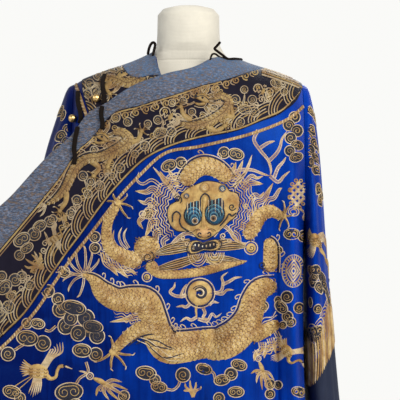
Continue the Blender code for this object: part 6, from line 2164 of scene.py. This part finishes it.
def tube(name, line, radius, look, sides=12, squeeze=1.0, per_step=6):
    """A round cord along a line, closed at both ends: circles of the radius about the eased
    line, in the plane across it. squeeze flattens it towards the cloth behind."""
    path = eased(line, per_step)
    forward = np.gradient(path, axis=0)
    forward /= np.linalg.norm(forward, axis=1, keepdims=True)
    side = np.cross(forward, (0.0, 1.0, 0.0))
    side /= np.linalg.norm(side, axis=1, keepdims=True)
    up = np.cross(side, forward)
    angles = np.linspace(0, 2 * math.pi, sides, endpoint=False)
    ends = np.full(len(path), radius)
    ends[0] = ends[-1] = radius * 0.55
    ring = (side[:, None] * np.cos(angles)[None, :, None]
            + up[:, None] * np.sin(angles)[None, :, None] * squeeze)
    points = path[:, None] + ring * ends[:, None, None]
    rows = len(path)
    flat = np.concatenate([points.reshape(-1, 3), path[:1], path[-1:]])
    faces = grid_faces(rows, sides, closed=True)
    i = np.arange(sides)
    j = (i + 1) % sides
    last = (rows - 1) * sides
    caps = np.concatenate([np.stack([j, i, np.full(sides, rows * sides), np.full(sides, rows * sides)], 1),
                           np.stack([last + i, last + j, np.full(sides, rows * sides + 1),
                                     np.full(sides, rows * sides + 1)], 1)])
    lengths = np.concatenate([[0], np.cumsum(np.linalg.norm(np.diff(path, axis=0), axis=1))])
    texture = np.stack([np.repeat(lengths, sides), np.tile(angles * radius, rows)], 1)
    texture = np.concatenate([texture, texture[:1], texture[-1:]])
    mesh = bpy.data.meshes.new(name)
    mesh.from_pydata(flat.tolist(), [], faces.tolist() + [list(face[:3]) for face in caps.tolist()])
    layer = mesh.uv_layers.new(name="thread")
    corners = np.empty(len(mesh.loops), np.int32)
    mesh.loops.foreach_get("vertex_index", corners)
    layer.uv.foreach_set("vector", texture[corners].astype(np.float32).ravel())
    mesh.polygons.foreach_set("use_smooth", np.ones(len(mesh.polygons), bool))
    model = bmesh.new()
    model.from_mesh(mesh)
    bmesh.ops.recalc_face_normals(model, faces=model.faces)
    model.to_mesh(mesh)
    model.free()
    mesh.materials.append(look)
    item = bpy.data.objects.new(name, mesh)
    bpy.context.scene.collection.objects.link(item)
    return item


# Closures: name, strap on the under front, loop strap on the overlap, as x and z
CLOSURE_STRAPS = (
    ("shoulder", ((-0.1520, 1.4620), (-0.1545, 1.4460), (-0.1515, 1.4280), (-0.1490, 1.4140), (-0.1510, 1.4050)),
     ((-0.1520, 1.4000), (-0.1530, 1.3840), (-0.1500, 1.3700), (-0.1500, 1.3580))),
    ("arm", ((-0.2000, 1.4320), (-0.1980, 1.4120), (-0.1925, 1.3920), (-0.1905, 1.3800), (-0.1930, 1.3710)),
     ((-0.1950, 1.3630), (-0.1985, 1.3430), (-0.2000, 1.3260), (-0.1990, 1.3100), (-0.2000, 1.2960))),
)
STRAP_RADIUS = 0.0026
STRAP_WIDTH = 0.0042
STRAP_CLEARANCE = 0.0009
NECK_LOOPS = (
    ("neck_loop_right", "under", ((-0.0740, 1.5020),), (-0.0640, 1.4980), 0.0026,
     ((0.0025, -0.0050, 0.0100), (0.0060, -0.0070, 0.0180), (0.0105, -0.0070, 0.0215),
      (0.0140, -0.0060, 0.0180), (0.0120, -0.0050, 0.0080))),
    ("neck_loop_left", "overlap", ((0.1000, 1.4950), (0.0850, 1.4925), (0.0720, 1.4900)), None, 0.0024,
     ((-0.0100, -0.0060, 0.0060), (-0.0190, -0.0070, 0.0125), (-0.0245, -0.0070, 0.0175),
      (-0.0215, -0.0060, 0.0215), (-0.0170, -0.0070, 0.0265), (-0.0140, -0.0080, 0.0300))),
    ("neck_loop_left", "overlap", ((0.0700, 1.4905),), (0.0400, 1.4855), 0.0019,
     ((-0.0120, -0.0040, 0.0020), (-0.0210, -0.0045, 0.0080), (-0.0270, -0.0040, 0.0070))),
)


def on_cloth(panel, points, clearance):
    """Points at a clearance above the cloth in front of each (x, z)."""
    points = np.asarray(points, float)
    return panel.at(panel.a_of(points[:, 0], points[:, 1]), points[:, 1],
                    np.full(len(points), clearance))


class ROBE_OT_closures(bpy.types.Operator):
    """Ball buttons, their straps and the loops at the neck"""
    bl_idname = "robe.closures"
    bl_label = "Closures"

    def execute(self, context):
        braid = plain_cloth("black braid", (0.012, 0.008, 0.006), 0.7, 5200.0, 0.8, sheen=0.03)
        gilt = metal("gilt ball", (0.78, 0.52, 0.20), 0.30, (1.0, 1.0, 1.0))
        clear = STRAP_RADIUS + STRAP_CLEARANCE + SEAM + BAND_WALL
        for name, strap, loop in CLOSURE_STRAPS:
            for node, panel, line in ((f"strap_{name}_button", cloth("under"), strap),
                                      (f"strap_{name}_loop", cloth("overlap"), loop)):
                item = tube(node + "_braid", on_cloth(panel, eased(line, 3), clear), STRAP_WIDTH, braid,
                            squeeze=STRAP_RADIUS / STRAP_WIDTH)
                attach(item, "root")
                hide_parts(node)
            low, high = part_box(f"button_{name}")
            centre = (low + high) / 2
            ball = self.ball(f"button_{name}_gilt", centre, (high.z - low.z) / 2, gilt)
            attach(ball, "root")
            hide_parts(f"button_{name}")
        for n, (node, name, feet, end, radius, offsets) in enumerate(NECK_LOOPS):
            starts = on_cloth(cloth(name), feet, radius + SEAM)
            line = [*starts, *(starts[-1] + np.array(offset) for offset in offsets)]
            if end:
                line += list(on_cloth(cloth(name), (end,), radius + SEAM))
            item = tube(f"{node}_braid_{n}", np.array(line), radius, braid, sides=10)
            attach(item, "root")
            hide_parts(node)
        return {"FINISHED"}

    def ball(self, name, centre, radius, look):
        """An embossed ball: eight lobes that fade towards its poles."""
        theta = np.linspace(0, math.pi, 25)[:, None]
        phi = np.linspace(0, 2 * math.pi, 48, endpoint=False)[None]
        reach = radius * (1 - 0.07 * (1 + np.cos(8 * phi + 2.5 * theta)) / 2 * np.sin(theta) ** 0.5)
        points = np.stack([reach * np.sin(theta) * np.cos(phi), reach * np.sin(theta) * np.sin(phi),
                           reach * np.cos(theta) * np.ones_like(phi)], -1) + np.array(centre)
        item = mesh_object(name, points.reshape(-1, 3), grid_faces(25, 48, closed=True), look)
        model = bmesh.new()
        model.from_mesh(item.data)
        bmesh.ops.remove_doubles(model, verts=model.verts, dist=1e-6)
        bmesh.ops.recalc_face_normals(model, faces=model.faces)
        model.to_mesh(item.data)
        model.free()
        return item


# Dress form rings: z, half width, front depth, back depth, as in the solids
FORM_NECK_RINGS = (
    (1.5990, 0.0300, 0.0290, 0.0290), (1.5930, 0.0500, 0.0475, 0.0475),
    (1.5830, 0.0585, 0.0545, 0.0545), (1.5500, 0.0590, 0.0545, 0.0545),
    (1.5250, 0.0605, 0.0530, 0.0510), (1.5110, 0.0680, 0.0480, 0.0460),
)
FORM_SHOULDER_RINGS = (
    (0.080, 0.0060, 0.0470, 0.0440), (0.095, 0.0050, 0.0470, 0.0440), (0.110, 0.0030, 0.0480, 0.0450),
    (0.130, 0.0010, 0.0500, 0.0460), (0.150, 0.0000, 0.0530, 0.0490), (0.170, 0.0000, 0.0570, 0.0520),
    (0.185, 0.0000, 0.0600, 0.0550),
)
FORM_TORSO_RINGS = (
    (1.4450, 0.1930, 0.0720, 0.0640), (1.4100, 0.1880, 0.0860, 0.0750), (1.3500, 0.1740, 0.0970, 0.0850),
    (1.2600, 0.1640, 0.1040, 0.0900), (1.1600, 0.1450, 0.0960, 0.0850), (1.0500, 0.1300, 0.0880, 0.0800),
    (0.9300, 0.1620, 0.1040, 0.0980), (0.8400, 0.1680, 0.1080, 0.1060), (0.8000, 0.1640, 0.1040, 0.1020),
)
FORM_TOP_Z = 1.6010
FORM_ROUNDNESS = 2.2
FORM_DROP = WALL + 0.0009


class ROBE_OT_dress_form(bpy.types.Operator):
    """Torso and neck under jersey, with a pole, a collar and a round base"""
    bl_idname = "robe.dress_form"
    bl_label = "Dress form"

    def execute(self, context):
        jersey = plain_cloth("form jersey", tuple(settings().form_colour), 0.85, 3600.0, 0.5, 0.5)
        steel = metal("brushed steel", (0.55, 0.55, 0.56), 0.30)
        rings = [(FORM_TOP_Z - 0.0002, 0.0010, 0.0010, 0.0010), *FORM_NECK_RINGS]
        rings += [(float(shoulder_z(x)) - FORM_DROP - lower, x, front, back)
                  for x, lower, front, back in FORM_SHOULDER_RINGS]
        rings += [*FORM_TORSO_RINGS, (0.7995, 0.1500, 0.0950, 0.0930), (0.7993, 0.0010, 0.0010, 0.0010)]
        table = np.array(rings)
        w = np.linspace(0, len(table) - 1, 6 * (len(table) - 1) + 1)
        fine = np.stack([np.interp(w, np.arange(len(table)), table[:, c]) for c in range(4)], -1)
        angles = np.linspace(0, 2 * math.pi, 96, endpoint=False)
        power = 2 / FORM_ROUNDNESS
        u = np.sign(np.cos(angles)) * np.abs(np.cos(angles)) ** power
        v = np.sign(np.sin(angles)) * np.abs(np.sin(angles)) ** power
        depth = np.where(v < 0, fine[:, 2:3], fine[:, 3:4])
        seam = 0.0012 * np.exp(-((fine[:, :1] - 1.4945) / 0.0016) ** 2)
        points = np.stack([(fine[:, 1:2] - seam) * u, (depth - seam) * v,
                           np.broadcast_to(fine[:, :1], depth.shape)], -1)
        girth = np.stack([np.broadcast_to(angles * 0.06, depth.shape),
                          np.broadcast_to(fine[:, :1], depth.shape)], -1).reshape(-1, 2)
        item = mesh_object("form_torso_jersey", points.reshape(-1, 3),
                           grid_faces(len(fine), 96, closed=True), jersey, girth)
        model = bmesh.new()
        model.from_mesh(item.data)
        bmesh.ops.holes_fill(model, edges=[edge for edge in model.edges if edge.is_boundary], sides=0)
        bmesh.ops.recalc_face_normals(model, faces=model.faces)
        model.to_mesh(item.data)
        model.free()
        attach(item, "root")
        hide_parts("form_torso")
        for node, profile in (
                ("form_base", ((0.001, 0.0160), (0.150, 0.0160), (0.190, 0.0150), (0.198, 0.0120),
                               (0.200, 0.0080), (0.199, 0.0020), (0.196, 0.0), (0.001, 0.0))),
                ("form_collar", ((0.0165, 0.0558), (0.022, 0.0555), (0.0255, 0.0520), (0.0265, 0.0300),
                                 (0.0290, 0.0220), (0.0300, 0.0175), (0.0300, 0.0165), (0.0165, 0.0164))),
                ("form_pole", ((0.001, 0.7992), (0.0152, 0.7992), (0.0160, 0.7980), (0.0160, 0.4000),
                               (0.0160, 0.0570), (0.0152, 0.0564), (0.001, 0.0564)))):
            piece = self.turned(node + "_steel", profile, steel)
            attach(piece, "root")
            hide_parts(node)
        return {"FINISHED"}

    def turned(self, name, profile, look):
        """A turned piece: the profile of radius and height carried round the upright axis."""
        profile = np.array(profile)
        angles = np.linspace(0, 2 * math.pi, 72, endpoint=False)
        points = np.stack([profile[:, :1] * np.cos(angles), profile[:, :1] * np.sin(angles),
                           np.broadcast_to(profile[:, 1:], (len(profile), 72))], -1)
        item = mesh_object(name, points.reshape(-1, 3), grid_faces(len(profile), 72, closed=True), look)
        model = bmesh.new()
        model.from_mesh(item.data)
        if name == "form_collar_steel":
            inner, outer = range(72), range(72 * (len(profile) - 1), 72 * len(profile))
            model.verts.ensure_lookup_table()
            for a, b in zip(inner, outer):
                step = a + 1 if a < 71 else 0
                model.faces.new((model.verts[a], model.verts[step], model.verts[b - a + step], model.verts[b]))
        else:
            bmesh.ops.holes_fill(model, edges=[edge for edge in model.edges if edge.is_boundary], sides=0)
        bmesh.ops.recalc_face_normals(model, faces=model.faces)
        model.to_mesh(item.data)
        model.free()
        return item


class ROBE_OT_stage(bpy.types.Operator):
    """Camera, pale floor, soft lights and white surroundings"""
    bl_idname = "robe.stage"
    bl_label = "Stage"

    def execute(self, context):
        scene = context.scene
        camera = bpy.data.objects.new("Camera", bpy.data.cameras.new("Camera"))
        camera.data.lens = 90
        camera.data.sensor_width = 36
        camera.location = EYE
        camera.rotation_euler = (math.pi / 2, 0, 0)
        scene.collection.objects.link(camera)
        scene.camera = camera
        scene.view_settings.view_transform = "Standard"
        look, draw, shader = new_material("studio floor", Roughness=0.8)
        place = draw.add("ShaderNodeTexCoord").outputs["Object"]
        noise = draw.add("ShaderNodeTexNoise", Vector=place, Scale=2.0, Detail=3.0)
        tint = draw.ramp(noise.outputs[0], (0.3, (0.80, 0.80, 0.79)), (0.7, (0.84, 0.84, 0.83)))
        draw.tree.links.new(tint, shader.inputs["Base Color"])
        radii = np.linspace(0.001, 3.0, 6)[:, None]
        angles = np.linspace(0, 2 * math.pi, 64, endpoint=False)
        points = np.stack([radii * np.cos(angles), radii * np.sin(angles),
                           np.zeros((6, 64)) - 0.0005], -1)
        floor = mesh_object("floor", points.reshape(-1, 3), grid_faces(6, 64, closed=True), look)
        for name, place, size, power, colour in (
                ("key", (1.9, -2.5, 2.7), 1.4, settings().light_power, (1.0, 0.98, 0.95)),
                ("fill", (-2.6, -2.4, 2.2), 2.2, settings().light_power * 0.40, (0.95, 0.97, 1.0)),
                ("back", (0.5, 2.6, 2.8), 2.0, settings().light_power * 0.45, (1.0, 1.0, 1.0))):
            lamp = bpy.data.lights.new(name, "AREA")
            lamp.size = size
            lamp.energy = power
            lamp.color = colour
            light = bpy.data.objects.new(name, lamp)
            light.location = place
            aim = Vector((0.0, 0.0, 1.15)) - Vector(place)
            light.rotation_euler = aim.to_track_quat("-Z", "Y").to_euler()
            scene.collection.objects.link(light)
        world = bpy.data.worlds.new("studio")
        scene.world = world
        world.use_nodes = True
        tree = world.node_tree
        background = tree.nodes["Background"]
        draw = Nodes(tree)
        seen = draw.add("ShaderNodeLightPath").outputs["Is Camera Ray"]
        colour = draw.mix(seen, (0.42, 0.43, 0.45, 1.0), (0.955, 0.955, 0.935, 1.0))
        tree.links.new(colour, background.inputs["Color"])
        return {"FINISHED"}


class RobeSettings(bpy.types.PropertyGroup):
    """Colours and light that a user would change"""
    satin_deep: FloatVectorProperty(name="Satin in shade", description="Deep blue of the ground cloth",
                                    subtype="COLOR", size=3, min=0, max=1, default=(0.0006, 0.0026, 0.068))
    # Satin in light is the ground cloth's blue where light falls on it, painted into its colour as sheen and as light
    # towards the wearer's left; the cloth is not faded there.
    satin_light: FloatVectorProperty(name="Satin in light", description="Faded blue of the ground cloth",
                                     subtype="COLOR", size=3, min=0, max=1, default=(0.0012, 0.0460, 0.410))
    border_colour: FloatVectorProperty(name="Border", description="Near-black of the border",
                                       subtype="COLOR", size=3, min=0, max=1, default=(0.005, 0.0045, 0.010))
    trim_colour: FloatVectorProperty(name="Trim", description="Faded grey-blue of the trim",
                                     subtype="COLOR", size=3, min=0, max=1, default=(0.062, 0.085, 0.135))
    form_colour: FloatVectorProperty(name="Jersey", description="Cream of the dress form",
                                     subtype="COLOR", size=3, min=0, max=1, default=(0.760, 0.710, 0.590))
    light_power: FloatProperty(name="Key light", description="Power of the main soft light",
                               default=112.0, min=0.0, unit="POWER")


OPERATORS = (ROBE_OT_stage, ROBE_OT_dress_form, ROBE_OT_body, ROBE_OT_sleeves, ROBE_OT_bands,
             ROBE_OT_closures, ROBE_OT_front_stitching, ROBE_OT_border_stitching,
             ROBE_OT_sleeve_stitching, ROBE_OT_back_stitching)


class ROBE_PT_panel(bpy.types.Panel):
    """Robe pieces and settings"""
    bl_label = "Dragon robe"
    bl_idname = "ROBE_PT_panel"
    bl_space_type = "VIEW_3D"
    bl_region_type = "UI"
    bl_category = "Dragon robe"

    def draw(self, context):
        column = self.layout.column()
        for name in RobeSettings.__annotations__:
            column.prop(context.scene.dragon_robe, name)
        for operator in OPERATORS:
            column.operator(operator.bl_idname)


CLASSES = (RobeSettings, *OPERATORS, ROBE_PT_panel)


def register():
    """Registers the classes and the scene's settings."""
    for item in CLASSES:
        bpy.utils.register_class(item)
    bpy.types.Scene.dragon_robe = PointerProperty(type=RobeSettings)


def unregister():
    """Undoes register."""
    del bpy.types.Scene.dragon_robe
    for item in reversed(CLASSES):
        bpy.utils.unregister_class(item)


def main():
    """Makes the robe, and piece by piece."""
    register()
    for operator in OPERATORS:
        family, name = operator.bl_idname.split(".")
        getattr(getattr(bpy.ops, family), name)()


if __name__ == "__main__":
    main()
